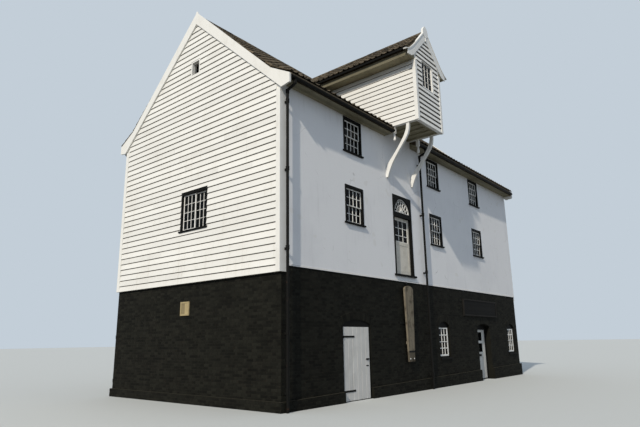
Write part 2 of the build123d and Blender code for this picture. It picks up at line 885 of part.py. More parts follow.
with BuildPart() as lucam_bargeboards:
    with BuildSketch(elevation(lucam_front)):
        with BuildLine():
            lucam_barge_top(-1)
            lucam_barge_top(1)
            Polyline(
                (lucam_x + lucam_barge_foot_out, lucam_barge_foot_top),
                (lucam_x + lucam_barge_foot_out, lucam_barge_foot_bottom),
                (lucam_x + lucam_barge_return_out, lucam_barge_return),
                (lucam_x, lucam_barge_apex - lucam_barge_apex_depth),
                (lucam_x - lucam_barge_return_out, lucam_barge_return),
                (lucam_x - lucam_barge_foot_out, lucam_barge_foot_bottom),
                (lucam_x - lucam_barge_foot_out, lucam_barge_foot_top),
            )
        make_face()
    extrude(amount=lucam_barge_thickness)
save(lucam_bargeboards.part, "lucam_bargeboards")

# Curved struts: S-shaped in side view, upright at the head and along the wall at the foot
strut_bottom = lucam_bottom - strut_height

with BuildPart() as lucam_struts:
    for x in (lucam_left, lucam_right - strut_thickness):
        with BuildSketch(section(x)):
            with BuildLine():
                Spline(
                    (front_face - strut_top_inner, lucam_bottom),
                    *[(front_face - out, lucam_bottom - down) for out, down in strut_inner_curve],
                    (front_face, strut_bottom + strut_foot_height),
                    tangents=((0, -1), (strut_foot_lean, -1)),
                )
                Polyline(
                    (front_face, strut_bottom + strut_foot_height),
                    (front_face, strut_bottom),
                    (front_face - strut_foot_depth, strut_bottom),
                )
                Spline(
                    (front_face - strut_foot_depth, strut_bottom),
                    *[(front_face - out, lucam_bottom - down) for out, down in strut_outer_curve],
                    (front_face - strut_top_outer, lucam_bottom),
                    tangents=((-strut_foot_lean, 1), (0, 1)),
                )
                Line(
                    (front_face - strut_top_outer, lucam_bottom),
                    (front_face - strut_top_inner, lucam_bottom),
                )
            make_face()
        extrude(amount=strut_thickness)
save(lucam_struts.part, "lucam_struts")

# Drop posts: a square block at the floor, then a turned neck that swells to a rounded bulb
drop_turned_length = drop_post_length - drop_post_block
drop_tip_bend = math.sqrt(0.5)

with BuildPart() as lucam_drop_posts:
    for x in (lucam_left + drop_post_size / 2, lucam_right - drop_post_size / 2):
        y = front_face - drop_post_out - drop_post_size / 2
        with BuildSketch(Plane.XY.offset(lucam_bottom)) as block:
            with Locations((x, y)):
                Rectangle(drop_post_size, drop_post_size)
        extrude(block.sketch, amount=-drop_post_block)
        drop_plane = Plane(origin=(x, y, lucam_bottom - drop_post_length), x_dir=(1, 0, 0), z_dir=(0, -1, 0))
        with BuildSketch(drop_plane) as half_drop:
            with BuildLine():
                ThreePointArc(
                    (0, 0),
                    (drop_bulb_radius * drop_tip_bend, drop_bulb_height * (1 - drop_tip_bend)),
                    (drop_bulb_radius, drop_bulb_height),
                )
                Spline(
                    (drop_bulb_radius, drop_bulb_height),
                    (drop_neck_radius, drop_neck_height),
                    tangents=((0, 1), (0, 1)),
                )
                Polyline(
                    (drop_neck_radius, drop_neck_height),
                    (drop_neck_radius, drop_turned_length),
                    (0, drop_turned_length),
                    (0, 0),
                )
            make_face()
        revolve(half_drop.sketch, axis=Axis((x, y, 0), (0, 0, 1)))
save(lucam_drop_posts.part, "lucam_drop_posts")

# White corner boards of the main block and of the lucam's front
def gable_corner_board(x, inward, y, outward, proud):
    """Board on a gable face at its corner; it laps a front board that is so far proud."""
    width = corner_board_side_width + proud
    with BuildSketch(Plane.XY.offset(gable_board_bottom)) as board:
        with Locations((
            x - inward * corner_board_side_proud / 2,
            y + outward * (proud - width / 2),
        )):
            Rectangle(corner_board_side_proud, width)
    extrude(board.sketch, amount=barge_return_bottom - gable_board_bottom)


def long_wall_corner_board(x, inward, y, outward):
    """Board on the front or the rear at a corner."""
    with BuildSketch(Plane.XY.offset(gable_board_bottom)) as board:
        with Locations((
            x + inward * corner_board_front_width / 2,
            y + outward * corner_board_proud / 2,
        )):
            Rectangle(corner_board_front_width, corner_board_proud)
    extrude(board.sketch, amount=soffit_height - gable_board_bottom)


with BuildPart() as corner_boards:
    boarded_left = left_face - gable_proud
    boarded_right = right_face + gable_proud
    for x, inward, y, outward in (
        (boarded_left, 1, front_face, -1),
        (boarded_left, 1, rear_face, 1),
        (boarded_right, -1, rear_face, 1),
    ):
        long_wall_corner_board(x, inward, y, outward)
        gable_corner_board(x, inward, y, outward, corner_board_proud)
    gable_corner_board(boarded_right, -1, front_face, -1, 0)
save(corner_boards.part, "corner_boards")

with BuildPart() as lucam_corner_boards:
    for x, inward in ((lucam_left, 1), (lucam_right, -1)):
        with BuildSketch(Plane.XY.offset(lucam_bottom)):
            with Locations((
                x + inward * (lucam_corner_width - lucam_corner_proud) / 2,
                lucam_front - lucam_corner_proud / 2,
            )):
                Rectangle(lucam_corner_width + lucam_corner_proud, lucam_corner_proud)
            with Locations((x - inward * lucam_corner_proud / 2, lucam_front + lucam_corner_width / 2)):
                Rectangle(lucam_corner_proud, lucam_corner_width)
        extrude(amount=lucam_soffit_height - lucam_bottom)
save(lucam_corner_boards.part, "lucam_corner_boards")

# Windows of the upper storeys: black frames with sills, white sashes, one glass each
frame_opening_width = window_width - 2 * window_frame_side


def upper_windows():
    """Centre, bottom and height of each window of the long walls' upper storeys."""
    return [(x, bottom, height) for bottom, height in window_rows for x in window_x]


with BuildPart() as window_frames:
    for x, bottom, height in upper_windows():
        opening_height = height - window_frame_head - window_frame_sill
        with BuildSketch(elevation(front_face - window_frame_proud)):
            with Locations((x, bottom + height / 2)):
                Rectangle(window_width, height)
            with Locations((x, bottom + window_frame_sill + opening_height / 2)):
                Rectangle(frame_opening_width, opening_height, mode=Mode.SUBTRACT)
        extrude(amount=-window_frame_depth)
        with BuildSketch(elevation(front_face)):
            with Locations((x, bottom - window_sill_thickness / 2 + window_frame_sill)):
                Rectangle(window_width + 2 * window_sill_extra, window_sill_thickness)
        extrude(amount=window_sill_out)
    for x in ground_window_x:
        with BuildSketch(elevation(front_face + ground_window_setback - sash_thickness)):
            arched_outline(x, ground_window_width, ground_window_bottom,
                           ground_window_spring, ground_window_rise)
            with Locations((x, (ground_sash_bottom + ground_sash_top) / 2)):
                Rectangle(ground_sash_width, ground_sash_top - ground_sash_bottom, mode=Mode.SUBTRACT)
        extrude(amount=-window_frame_depth)
        with BuildSketch(elevation(front_face + ground_window_setback - sash_thickness)):
            with Locations((x, ground_window_bottom + ground_sill_thickness / 2)):
                Rectangle(ground_window_width, ground_sill_thickness)
        extrude(amount=ground_window_setback - sash_thickness + ground_sill_out)
    mirror(about=Plane.XZ)
    with BuildSketch(section(left_face - gable_proud - window_frame_proud)):
        opening_height = gable_window_height - window_frame_head - window_frame_sill
        with Locations((gable_window_y, gable_window_bottom + gable_window_height / 2)):
            Rectangle(gable_window_width, gable_window_height)
        with Locations((gable_window_y, gable_window_bottom + window_frame_sill + opening_height / 2)):
            Rectangle(gable_window_width - 2 * window_frame_side, opening_height, mode=Mode.SUBTRACT)
    extrude(amount=window_frame_depth)
    with BuildSketch(section(left_face - gable_proud)):
        with Locations((
            gable_window_y,
            gable_window_bottom + window_frame_sill - window_sill_thickness / 2,
        )):
            Rectangle(gable_window_width + 2 * window_sill_extra, window_sill_thickness)
    extrude(amount=-window_sill_out)
save(window_frames.part, "window_frames")


def sash_face(centre, bottom, width, height, rail_height):
    """Sliding sash window: stiles and rails round two lights, one above the other."""
    light_height = (height - 2 * sash_stile - rail_height) / 2
    with Locations((centre, bottom + height / 2)):
        Rectangle(width, height)
    for middle in (
        bottom + sash_stile + light_height / 2,
        bottom + height - sash_stile - light_height / 2,
    ):
        with Locations((centre, middle)):
            Rectangle(width - 2 * sash_stile, light_height, mode=Mode.SUBTRACT)


gable_light_width = (gable_window_width - 2 * window_frame_side - 2 * sash_stile - gable_window_mullion) / 2

with BuildPart() as window_sashes:
    for x, bottom, height in upper_windows():
        opening_height = height - window_frame_head - window_frame_sill
        with BuildSketch(elevation(front_face + sash_setback)):
            sash_face(x, bottom + window_frame_sill, frame_opening_width, opening_height, sash_stile)
        extrude(amount=-sash_thickness)
    for x in ground_window_x:
        with BuildSketch(elevation(front_face + ground_window_setback)):
            sash_face(x, ground_sash_bottom, ground_sash_width,
                      ground_sash_top - ground_sash_bottom, sash_stile)
        extrude(amount=-sash_thickness)
    mirror(about=Plane.XZ)
    opening_height = gable_window_height - window_frame_head - window_frame_sill
    with BuildSketch(section(left_face - gable_proud + sash_setback)):
        with Locations((gable_window_y, gable_window_bottom + window_frame_sill + opening_height / 2)):
            Rectangle(gable_window_width - 2 * window_frame_side, opening_height)
            with GridLocations(gable_light_width + gable_window_mullion, 0, 2, 1):
                Rectangle(gable_light_width, opening_height - 2 * sash_stile, mode=Mode.SUBTRACT)
    extrude(amount=sash_thickness)
save(window_sashes.part, "window_sashes")

with BuildPart() as window_glass:
    for x, bottom, height in upper_windows():
        opening_height = height - window_frame_head - window_frame_sill
        with BuildSketch(elevation(front_face + sash_setback + sash_thickness)):
            with Locations((x, bottom + window_frame_sill + opening_height / 2)):
                Rectangle(frame_opening_width, opening_height)
        extrude(amount=-glass_thickness)
    for x in ground_window_x:
        with BuildSketch(elevation(front_face + ground_window_setback + sash_thickness)):
            with Locations((x, (ground_sash_bottom + ground_sash_top) / 2)):
                Rectangle(ground_sash_width, ground_sash_top - ground_sash_bottom)
        extrude(amount=-glass_thickness)
    mirror(about=Plane.XZ)
    with BuildSketch(section(left_face - gable_proud + sash_setback + sash_thickness)):
        opening_height = gable_window_height - window_frame_head - window_frame_sill
        with Locations((gable_window_y, gable_window_bottom + window_frame_sill + opening_height / 2)):
            Rectangle(gable_window_width - 2 * window_frame_side, opening_height)
    extrude(amount=glass_thickness)
save(window_glass.part, "window_glass")

# White sash window of the lucam, and its glass
with BuildPart() as lucam_window:
    with BuildSketch(elevation(lucam_front - window_frame_proud)):
        with Locations((lucam_x, lucam_window_bottom + lucam_window_height / 2)):
            Rectangle(lucam_window_width, lucam_window_height)
        light_height = (lucam_window_height - 2 * lucam_window_frame - sash_stile) / 2
        with Locations((lucam_x, lucam_window_bottom + lucam_window_height / 2)):
            with GridLocations(0, light_height + sash_stile, 1, 2):
                Rectangle(lucam_window_width - 2 * lucam_window_frame, light_height, mode=Mode.SUBTRACT)
    extrude(amount=-sash_thickness - window_frame_proud)
save(lucam_window.part, "lucam_window")

with BuildPart() as lucam_glass:
    with BuildSketch(elevation(lucam_front + sash_thickness)):
        with Locations((lucam_x, lucam_window_bottom + lucam_window_height / 2)):
            Rectangle(lucam_window_width, lucam_window_height)
    extrude(amount=-glass_thickness)
save(lucam_glass.part, "lucam_glass")

# Pale frames of the small openings high in both gables
with BuildPart() as attic_frames:
    for x in (left_face - gable_proud - window_frame_proud,
              right_face + gable_proud + window_frame_proud - attic_frame_depth):
        with BuildSketch(section(x)):
            with Locations((0, attic_opening_bottom + attic_opening_height / 2)):
                Rectangle(attic_opening_width, attic_opening_height)
                Rectangle(attic_opening_width - 2 * attic_frame_width,
                          attic_opening_height - 2 * attic_frame_width, mode=Mode.SUBTRACT)
        extrude(amount=attic_frame_depth)
save(attic_frames.part, "attic_frames")

# Loading door: one black frame round the leaf and the half-round fanlight above it
loading_inner_width = loading_frame_width - 2 * loading_frame_side
fan_radius = loading_inner_width / 2 - fan_margin
fan_spring = loading_leaf_top + loading_transom
leaf_bottom = loading_frame_bottom + window_frame_sill

with BuildPart() as loading_door_frame:
    with BuildSketch(elevation(front_face - window_frame_proud)):
        with Locations((loading_x, (loading_frame_bottom + loading_frame_top) / 2)):
            Rectangle(loading_frame_width, loading_frame_top - loading_frame_bottom)
        with Locations((loading_x, (leaf_bottom + loading_leaf_top) / 2)):
            Rectangle(loading_inner_width, loading_leaf_top - leaf_bottom, mode=Mode.SUBTRACT)
        with BuildLine():
            CenterArc((loading_x, fan_spring), fan_radius, 0, 180)
            Line((loading_x - fan_radius, fan_spring), (loading_x + fan_radius, fan_spring))
        make_face(mode=Mode.SUBTRACT)
    extrude(amount=-loading_frame_depth)
    with BuildSketch(elevation(front_face)):
        with Locations((loading_x, loading_frame_bottom - loading_sill_thickness / 2 + window_frame_sill)):
            Rectangle(loading_frame_width + 2 * loading_sill_extra, loading_sill_thickness)
    extrude(amount=loading_sill_out)
save(loading_door_frame.part, "loading_door_frame")

loading_glazing_height = loading_leaf_top - loading_stile - loading_glazing_bottom

with BuildPart() as loading_door:
    with BuildSketch(elevation(front_face + loading_setback)):
        with Locations((loading_x, (leaf_bottom + loading_leaf_top) / 2)):
            Rectangle(loading_inner_width, loading_leaf_top - leaf_bottom)
        with Locations((loading_x, loading_glazing_bottom + loading_glazing_height / 2)):
            Rectangle(loading_inner_width - 2 * loading_stile, loading_glazing_height, mode=Mode.SUBTRACT)
    extrude(amount=-loading_leaf_thickness)
save(loading_door.part, "loading_door")

with BuildPart() as loading_door_glass:
    with BuildSketch(elevation(front_face + loading_setback + loading_leaf_thickness / 2)):
        with Locations((loading_x, loading_glazing_bottom + loading_glazing_height / 2)):
            Rectangle(loading_inner_width - 2 * loading_stile, loading_glazing_height)
        with BuildLine():
            CenterArc((loading_x, fan_spring), fan_radius, 0, 180)
            Line((loading_x - fan_radius, fan_spring), (loading_x + fan_radius, fan_spring))
        make_face()
    extrude(amount=-glass_thickness)
save(loading_door_glass.part, "loading_door_glass")

# Frames of the two doors at ground level, filling the arched doorways round the leaves
plank_frame_front = front_face + plank_door_setback
glazed_frame_back = front_face + glazed_door_setback + glazed_door_thickness
glazed_frame_front = glazed_frame_back - door_frame_depth

with BuildPart() as door_frames:
    for centre, width, leaf_width, leaf_top, spring, rise, front in (
        (plank_x, plank_opening_width, plank_door_width, plank_door_top,
         plank_door_spring, plank_door_rise, plank_frame_front),
        (glazed_x, glazed_opening_width, glazed_door_width, glazed_door_top,
         glazed_door_spring, glazed_door_rise, glazed_frame_front),
    ):
        with BuildSketch(elevation(front)):
            arched_outline(centre, width, 0, spring, rise)
            with Locations((centre, (leaf_top + door_gap) / 2)):
                Rectangle(leaf_width + 2 * door_gap, leaf_top + door_gap, mode=Mode.SUBTRACT)
        extrude(amount=-door_frame_depth)
save(door_frames.part, "door_frames")

# Plank door and its ironwork. The pins stand in front of the frame on the left.
plank_leaf_left = plank_x - plank_door_width / 2
plank_leaf_right = plank_x + plank_door_width / 2
plank_pin_x = plank_leaf_left - door_gap
plank_pin_y = plank_frame_front - pin_stand_off

with BuildPart() as plank_door:
    with BuildSketch(elevation(plank_frame_front)):
        with Locations((plank_x, (plank_door_bottom + plank_door_top) / 2)):
            Rectangle(plank_door_width, plank_door_top - plank_door_bottom)
    extrude(amount=-plank_door_thickness)
save(plank_door.part, "plank_door")


def knuckle(x, y, height):
    """Rolled eye of a hinge."""
    with BuildSketch(Plane.XY.offset(height - knuckle_height / 2)) as eye:
        with Locations((x, y)):
            Circle(knuckle_radius)
    extrude(eye.sketch, amount=knuckle_height)


def bore_knuckle(x, y, height):
    """Hole for the pin through a hinge eye."""
    with BuildSketch(Plane.XY.offset(height - knuckle_height / 2)) as bore:
        with Locations((x, y)):
            Circle(pin_radius + pin_clearance)
    extrude(bore.sketch, amount=knuckle_height, mode=Mode.SUBTRACT)


with BuildPart() as plank_door_ironwork:
    for height in (upper_hinge_height, lower_hinge_height):
        knuckle(plank_pin_x, plank_pin_y, height)
        with BuildSketch(elevation(plank_frame_front)):
            with Locations((plank_leaf_left + strap_length / 2, height)):
                Rectangle(strap_length, strap_width)
        extrude(amount=strap_thickness)
        bore_knuckle(plank_pin_x, plank_pin_y, height)
    with BuildSketch(elevation(plank_frame_front)):
        with Locations((plank_leaf_right - latch_edge - latch_length / 2, latch_height)):
            Rectangle(latch_length, latch_width)
    extrude(amount=strap_thickness)
save(plank_door_ironwork.part, "plank_door_ironwork")

# Glazed door and its ironwork. The pins stand behind the frame on the right.
glazed_leaf_right = glazed_x + glazed_door_width / 2
glazed_pin_x = glazed_leaf_right + door_gap
glazed_pin_y = glazed_frame_back + pin_stand_off
upper_pane_bottom = glazed_lower_pane_bottom + glazed_pane_height + glazed_pane_gap
pane_centres = [
    (glazed_x, glazed_lower_pane_bottom + glazed_pane_height / 2),
    (glazed_x, upper_pane_bottom + glazed_pane_height / 2),
]

with BuildPart() as glazed_door:
    with BuildSketch(elevation(front_face + glazed_door_setback)):
        with Locations((glazed_x, (glazed_door_bottom + glazed_door_top) / 2)):
            Rectangle(glazed_door_width, glazed_door_top - glazed_door_bottom)
        with Locations(*pane_centres):
            Rectangle(glazed_pane_width, glazed_pane_height, mode=Mode.SUBTRACT)
    extrude(amount=-glazed_door_thickness)
save(glazed_door.part, "glazed_door")

with BuildPart() as glazed_door_glass:
    with BuildSketch(elevation(front_face + glazed_door_setback + glazed_door_thickness / 2)):
        with Locations(*pane_centres):
            Rectangle(glazed_pane_width, glazed_pane_height)
    extrude(amount=-glass_thickness)
save(glazed_door_glass.part, "glazed_door_glass")

with BuildPart() as glazed_door_ironwork:
    for height in (glazed_upper_hinge_height, lower_hinge_height):
        knuckle(glazed_pin_x, glazed_pin_y, height)
        with BuildSketch(elevation(glazed_frame_back)):
            with Locations((glazed_leaf_right - glazed_hinge_length / 2, height)):
                Rectangle(glazed_hinge_length, strap_width)
        extrude(amount=-strap_thickness)
        bore_knuckle(glazed_pin_x, glazed_pin_y, height)
save(glazed_door_ironwork.part, "glazed_door_ironwork")

# Pins that carry the doors, each on a block fixed to its frame under the knuckle
with BuildPart() as door_pins:
    for x, y, side, height in (
        (plank_pin_x, plank_pin_y, 1, upper_hinge_height),
        (plank_pin_x, plank_pin_y, 1, lower_hinge_height),
        (glazed_pin_x, glazed_pin_y, -1, glazed_upper_hinge_height),
        (glazed_pin_x, glazed_pin_y, -1, lower_hinge_height),
    ):
        block_top = height - knuckle_height / 2 - pintle_gap
        with BuildSketch(Plane.XY.offset(block_top - pintle_height)):
            with Locations((
                x - side * (pintle_reach - pin_radius) / 2,
                y + side * (pin_stand_off - pin_radius) / 2,
            )):
                Rectangle(pintle_reach + pin_radius, pin_stand_off + pin_radius)
        extrude(amount=pintle_height)
        with BuildSketch(Plane.XY.offset(block_top)):
            with Locations((x, y)):
                Circle(pin_radius)
        extrude(amount=knuckle_height + pintle_gap)
save(door_pins.part, "door_pins")

# Small shutter in the brick end wall
with BuildPart() as end_wall_hatch:
    with BuildSketch(section(left_face)):
        with Locations((hatch_y, hatch_bottom + hatch_height / 2)):
            Rectangle(hatch_width, hatch_height)
    extrude(amount=-hatch_thickness)
save(end_wall_hatch.part, "end_wall_hatch")

# Bare sign board with a raised frame
sign_x = left_face + sign_centre

with BuildPart() as sign_board:
    with BuildSketch(elevation(front_face)):
        with Locations((sign_x, sign_bottom + sign_height / 2)):
            Rectangle(sign_width, sign_height)
    extrude(amount=sign_thickness)
    with BuildSketch(elevation(front_face - sign_thickness)):
        with Locations((sign_x, sign_bottom + sign_height / 2)):
            Rectangle(sign_width, sign_height)
            Rectangle(sign_width - 2 * sign_frame_width, sign_height - 2 * sign_frame_width,
                      mode=Mode.SUBTRACT)
    extrude(amount=sign_frame_proud)
save(sign_board.part, "sign_board")

# Rubbing board below the loading door, which keeps hoisted sacks off the wall
rub_x = left_face + rub_board_centre
rub_half = rub_board_width / 2
rub_foot_half = rub_board_foot_width / 2

with BuildPart() as rub_board:
    with BuildSketch(elevation(front_face - rub_board_ledger_depth)):
        with BuildLine():
            Polyline(
                (rub_x + rub_half, rub_board_shoulder),
                (rub_x + rub_foot_half, rub_board_bottom),
                (rub_x - rub_foot_half, rub_board_bottom),
                (rub_x - rub_half, rub_board_shoulder),
            )
            ThreePointArc(
                (rub_x - rub_half, rub_board_shoulder),
                (rub_x, rub_board_top),
                (rub_x + rub_half, rub_board_shoulder),
            )
        make_face()
    extrude(amount=rub_board_thickness)
    for height in rub_board_ledger_heights:
        with BuildSketch(elevation(front_face)):
            with Locations((rub_x, height)):
                Rectangle(rub_board_ledger_width, rub_board_ledger_height)
        extrude(amount=rub_board_ledger_depth)
save(rub_board.part, "rub_board")

# Half-round gutters at both eaves, broken by the lucam at the front
gutter_y = front_face - fascia_out - seat_clearance - gutter_radius


def gutter_run(left, right):
    """Stretch of half-round gutter along the front eaves."""
    with BuildSketch(section(left)) as trough:
        with Locations((gutter_y, gutter_rim)):
            Circle(gutter_radius)
            Circle(gutter_radius - gutter_wall, mode=Mode.SUBTRACT)
        with Locations((gutter_y, gutter_rim + gutter_radius)):
            Rectangle(2 * gutter_radius, 2 * gutter_radius, mode=Mode.SUBTRACT)
    extrude(trough.sketch, amount=right - left)


with BuildPart() as rear_gutter:
    gutter_run(roof_left, roof_right)
    mirror(about=Plane.XZ, mode=Mode.REPLACE)

with BuildPart() as gutters:
    gutter_run(roof_left, lucam_left - gutter_gap_at_lucam)
    gutter_run(lucam_right + gutter_gap_at_lucam, roof_right)
    add(rear_gutter.part)
save(gutters.part, "gutters")

# Downpipes with swan necks from the gutters back to the wall
pipe_y = front_face - pipe_out
neck_top = gutter_rim - gutter_radius
neck_bottom = gutter_rim - pipe_neck_height

with BuildPart() as downpipes:
    for position in pipe_positions:
        x = left_face + position
        upper_elbow = Vector(x, gutter_y, neck_top - pipe_neck_drop)
        lower_elbow = Vector(x, pipe_y, neck_bottom)
        upright = Vector(0, 0, pipe_elbow_leg)
        along_neck = (lower_elbow - upper_elbow).normalized() * pipe_elbow_leg
        with BuildLine() as route:
            Polyline(
                (x, gutter_y, neck_top),
                upper_elbow + upright,
                upper_elbow + along_neck,
                lower_elbow - along_neck,
                lower_elbow - upright,
                (x, pipe_y, 0),
            )
        with BuildSketch(Plane.XY.offset(neck_top)):
            with Locations((x, gutter_y)):
                Circle(pipe_radius)
        sweep(path=route.wires()[0], transition=Transition.RIGHT)
        for share in pipe_clip_shares:
            height = share * neck_bottom
            on_corner_board = position < corner_board_front_width and height > gable_board_bottom
            carrier = front_face - corner_board_proud if on_corner_board else front_face
            with BuildSketch(Plane.XY.offset(height)):
                with Locations((x, (pipe_y + carrier) / 2)):
                    Rectangle(pipe_clip_width, carrier - pipe_y)
            extrude(amount=pipe_clip_height)
    mirror(about=Plane.XZ)
save(downpipes.part, "downpipes")
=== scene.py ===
"""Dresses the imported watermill: boards, bricks, tiles, sashes, doors, finishes, light and camera."""

import json
import logging
import math
import random
from collections.abc import Callable
from dataclasses import dataclass, field
from enum import Enum

import bpy
from mathutils import Matrix, Vector

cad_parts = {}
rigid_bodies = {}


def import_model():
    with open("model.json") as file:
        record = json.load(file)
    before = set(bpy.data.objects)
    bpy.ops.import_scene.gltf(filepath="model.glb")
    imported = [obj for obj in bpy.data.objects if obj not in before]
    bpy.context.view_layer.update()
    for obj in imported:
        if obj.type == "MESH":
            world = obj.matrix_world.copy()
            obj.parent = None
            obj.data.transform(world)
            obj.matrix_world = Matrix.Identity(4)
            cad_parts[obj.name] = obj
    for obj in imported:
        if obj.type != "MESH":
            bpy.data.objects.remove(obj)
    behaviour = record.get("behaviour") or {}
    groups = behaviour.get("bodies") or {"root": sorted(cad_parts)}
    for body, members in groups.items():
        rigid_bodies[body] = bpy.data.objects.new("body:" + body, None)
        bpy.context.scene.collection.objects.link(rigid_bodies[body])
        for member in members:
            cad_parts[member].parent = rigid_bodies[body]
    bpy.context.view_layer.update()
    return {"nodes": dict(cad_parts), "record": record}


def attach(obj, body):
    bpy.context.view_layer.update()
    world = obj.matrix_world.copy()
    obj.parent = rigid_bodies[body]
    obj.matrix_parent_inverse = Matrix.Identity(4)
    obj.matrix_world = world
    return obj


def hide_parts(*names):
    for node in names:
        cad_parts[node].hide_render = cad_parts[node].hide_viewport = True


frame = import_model()

log = logging.getLogger("watermill")

Flat = tuple[float, float]
Triple = tuple[float, float, float]
Box = tuple[float, float, float, float]
Outline = list[Flat]
Settings = dict[str | int, object]
Socket = bpy.types.NodeSocket

# Places in metres: x along the front, y from front to rear, z up from the ground.
UP = Vector((0.0, 0.0, 1.0))
FRONT = -3.705
END = 7.745
GABLE_FACE = 7.805
BRICK_TOP = 3.424
BOARDS_BOTTOM = 3.256
SOFFIT = 8.270
WINDOWS_X = (-4.615, 0.495, 4.135)
GROUND_WINDOWS_X = (0.605, 6.995)
SIGN_BOX = (2.255, 5.455, 2.450, 3.090)
HATCH_BOX = (-0.275, 0.125, 2.350, 2.740)

# The tiles' planes: a main slope over a flatter foot, which meet at the knee, in from the wall's face.
MAIN_SLOPE = math.tan(math.radians(41.75))
KICK_SLOPE = math.tan(math.radians(29.0))
KNEE_IN = 0.311
KNEE_HEIGHT = 8.820
RIDGE_HEIGHT = 11.849

LUCAM_X = -1.945
LUCAM_HALF = 0.834
LUCAM_FRONT = -5.015
LUCAM_BOTTOM = 8.502
LUCAM_RIDGE = 11.990

EVEN = (1.0, 1.0, 1.0)
CREASE = 40.0
# Sweep in degrees and chords of a forged ring.
RING = ((0, 350), 14)


def linear(hex_colour: str) -> Box:
    """Turns an sRGB hex value to linear light.

    Args:
        hex_colour: Six hex digits after a hash sign.

    Returns:
        Red, green, blue and an alpha of one.
    """
    values = [int(hex_colour[i : i + 2], 16) / 255 for i in (1, 3, 5)]
    red, green, blue = [v / 12.92 if v <= 0.04045 else ((v + 0.055) / 1.055) ** 2.4 for v in values]
    return (red, green, blue, 1.0)


def add_node(
    tree: bpy.types.NodeTree, kind: str, settings: Settings | None = None, links: Settings | None = None
) -> bpy.types.Node:
    """Adds one node with its settings and links.

    Args:
        tree: The tree that gets the node.
        kind: The node's type name.
        settings: Property values by name, or input values by input name or number.
        links: Source sockets by input name or number.

    Returns:
        The new node.
    """
    node = tree.nodes.new(kind)
    for key, value in (settings or {}).items():
        if isinstance(key, str) and hasattr(node, key):
            setattr(node, key, value)
        else:
            node.inputs[key].default_value = value
    for key, source in (links or {}).items():
        tree.links.new(source, node.inputs[key])
    return node


def add_object(name: str, data: bpy.types.ID) -> bpy.types.Object:
    """Puts a mesh, lamp or camera into the scene.

    Args:
        name: The object's name.
        data: What it holds.

    Returns:
        The new object.
    """
    made = bpy.data.objects.new(name, data)
    bpy.context.scene.collection.objects.link(made)
    return made


def smooth(mesh: bpy.types.Mesh, crease: float) -> None:
    """Shades a mesh smooth, but for edges sharper than some degrees."""
    mesh.shade_smooth()
    mesh.set_sharp_from_angle(angle=math.radians(crease))


def looked_at(tree: bpy.types.NodeTree) -> Socket:
    """Adds nodes that tell rays from the camera, or through a mirror or glass, from the rest.

    Args:
        tree: The material's or world's tree.

    Returns:
        One for them and nothing for other rays.
    """
    rays = add_node(tree, "ShaderNodeLightPath").outputs
    seen = rays["Is Camera Ray"]
    for other in ("Is Glossy Ray", "Is Transmission Ray"):
        links = {0: seen, 1: rays[other]}
        seen = add_node(tree, "ShaderNodeMath", {"operation": "MAXIMUM"}, links).outputs[0]
    return seen


class Slot(Enum):
    """The finishes that the part is painted with."""

    BRICK = "tarred_brick"
    FLOOR_STONE = "floor_stone"
    PLASTER = "plaster"
    BOARDS = "white_boards"
    FLOOR_BOARDS = "floor_boards"
    SOFFIT = "brown_soffit"
    WHITE = "white_trim"
    TILE = "pantile"
    BLACK = "black_trim"
    GLASS = "glass"
    GREIGE = "greige_leaf"
    GREY_PLANKS = "grey_planks"
    PALE_LEAF = "pale_leaf"
    IRON = "black_iron"
    OAK = "weathered_board"
    CREAM = "cream_board"
    SIGN = "sign_black"


class TreeOwner:
    """Something that builds a node tree of its own."""

    tree: bpy.types.NodeTree

    def node(
        self, kind: str, settings: Settings | None = None, links: Settings | None = None
    ) -> bpy.types.Node:
        """Adds a node to the tree and returns it."""
        return add_node(self.tree, kind, settings, links)


class Coat(TreeOwner):
    """A material in the making: its nodes, its coordinates and its colour so far."""

    def __init__(self, name: str, base: str) -> None:
        """Starts a material.

        Args:
            name: The material's name.
            base: Hex of its first colour.
        """
        self.material = bpy.data.materials.new(name)
        self.material.use_nodes = True
        self.tree = self.material.node_tree
        self.tree.nodes.clear()
        self.place = self.node("ShaderNodeTexCoord").outputs["Object"]
        self.colour = self.node("ShaderNodeRGB").outputs[0]
        self.colour.default_value = linear(base)

    def noise(self, size_mm: float, detail: float, stretch: Triple = EVEN) -> Socket:
        """Adds noise of a real size.

        Args:
            size_mm: Size of one blotch.
            detail: Levels of finer noise.
            stretch: Scale along each axis.

        Returns:
            The noise's value.
        """
        place = self.node("ShaderNodeMapping", {"Scale": stretch}, {"Vector": self.place}).outputs[0]
        settings = {"Scale": 1000.0 / size_mm, "Detail": detail, "Roughness": 0.6}
        return self.node("ShaderNodeTexNoise", settings, {"Vector": place}).outputs[0]

    def band(self, value: Socket, edges: Flat, top: float = 1.0) -> Socket:
        """Maps a value to a share that rises smoothly between two edges, up to its top."""
        settings = {"interpolation_type": "SMOOTHSTEP", 1: edges[0], 2: edges[1], 3: 0.0, 4: top}
        return self.node("ShaderNodeMapRange", settings, {0: value}).outputs[0]

    def both(self, first: Socket, second: Socket) -> Socket:
        """Multiplies two shares."""
        return self.node("ShaderNodeMath", {"operation": "MULTIPLY"}, {0: first, 1: second}).outputs[0]

    def attribute(self, name: str) -> Socket:
        """Reads a number that the mesh holds under a name."""
        return self.node("ShaderNodeAttribute", {"attribute_name": name}).outputs["Fac"]

    def paint(self, share: Socket, colour: str) -> None:
        """Mixes a share of a hex colour over the colour so far."""
        settings = {"data_type": "RGBA", 7: linear(colour)}
        self.colour = self.node("ShaderNodeMix", settings, {0: share, 6: self.colour}).outputs[2]


@dataclass(frozen=True)
class Blotches:
    """Spots of one colour that lie over a finish, between two values of a noise."""

    colour: str
    size_mm: float
    detail: float
    edges: Flat
    share: float
    stretch: Triple = EVEN


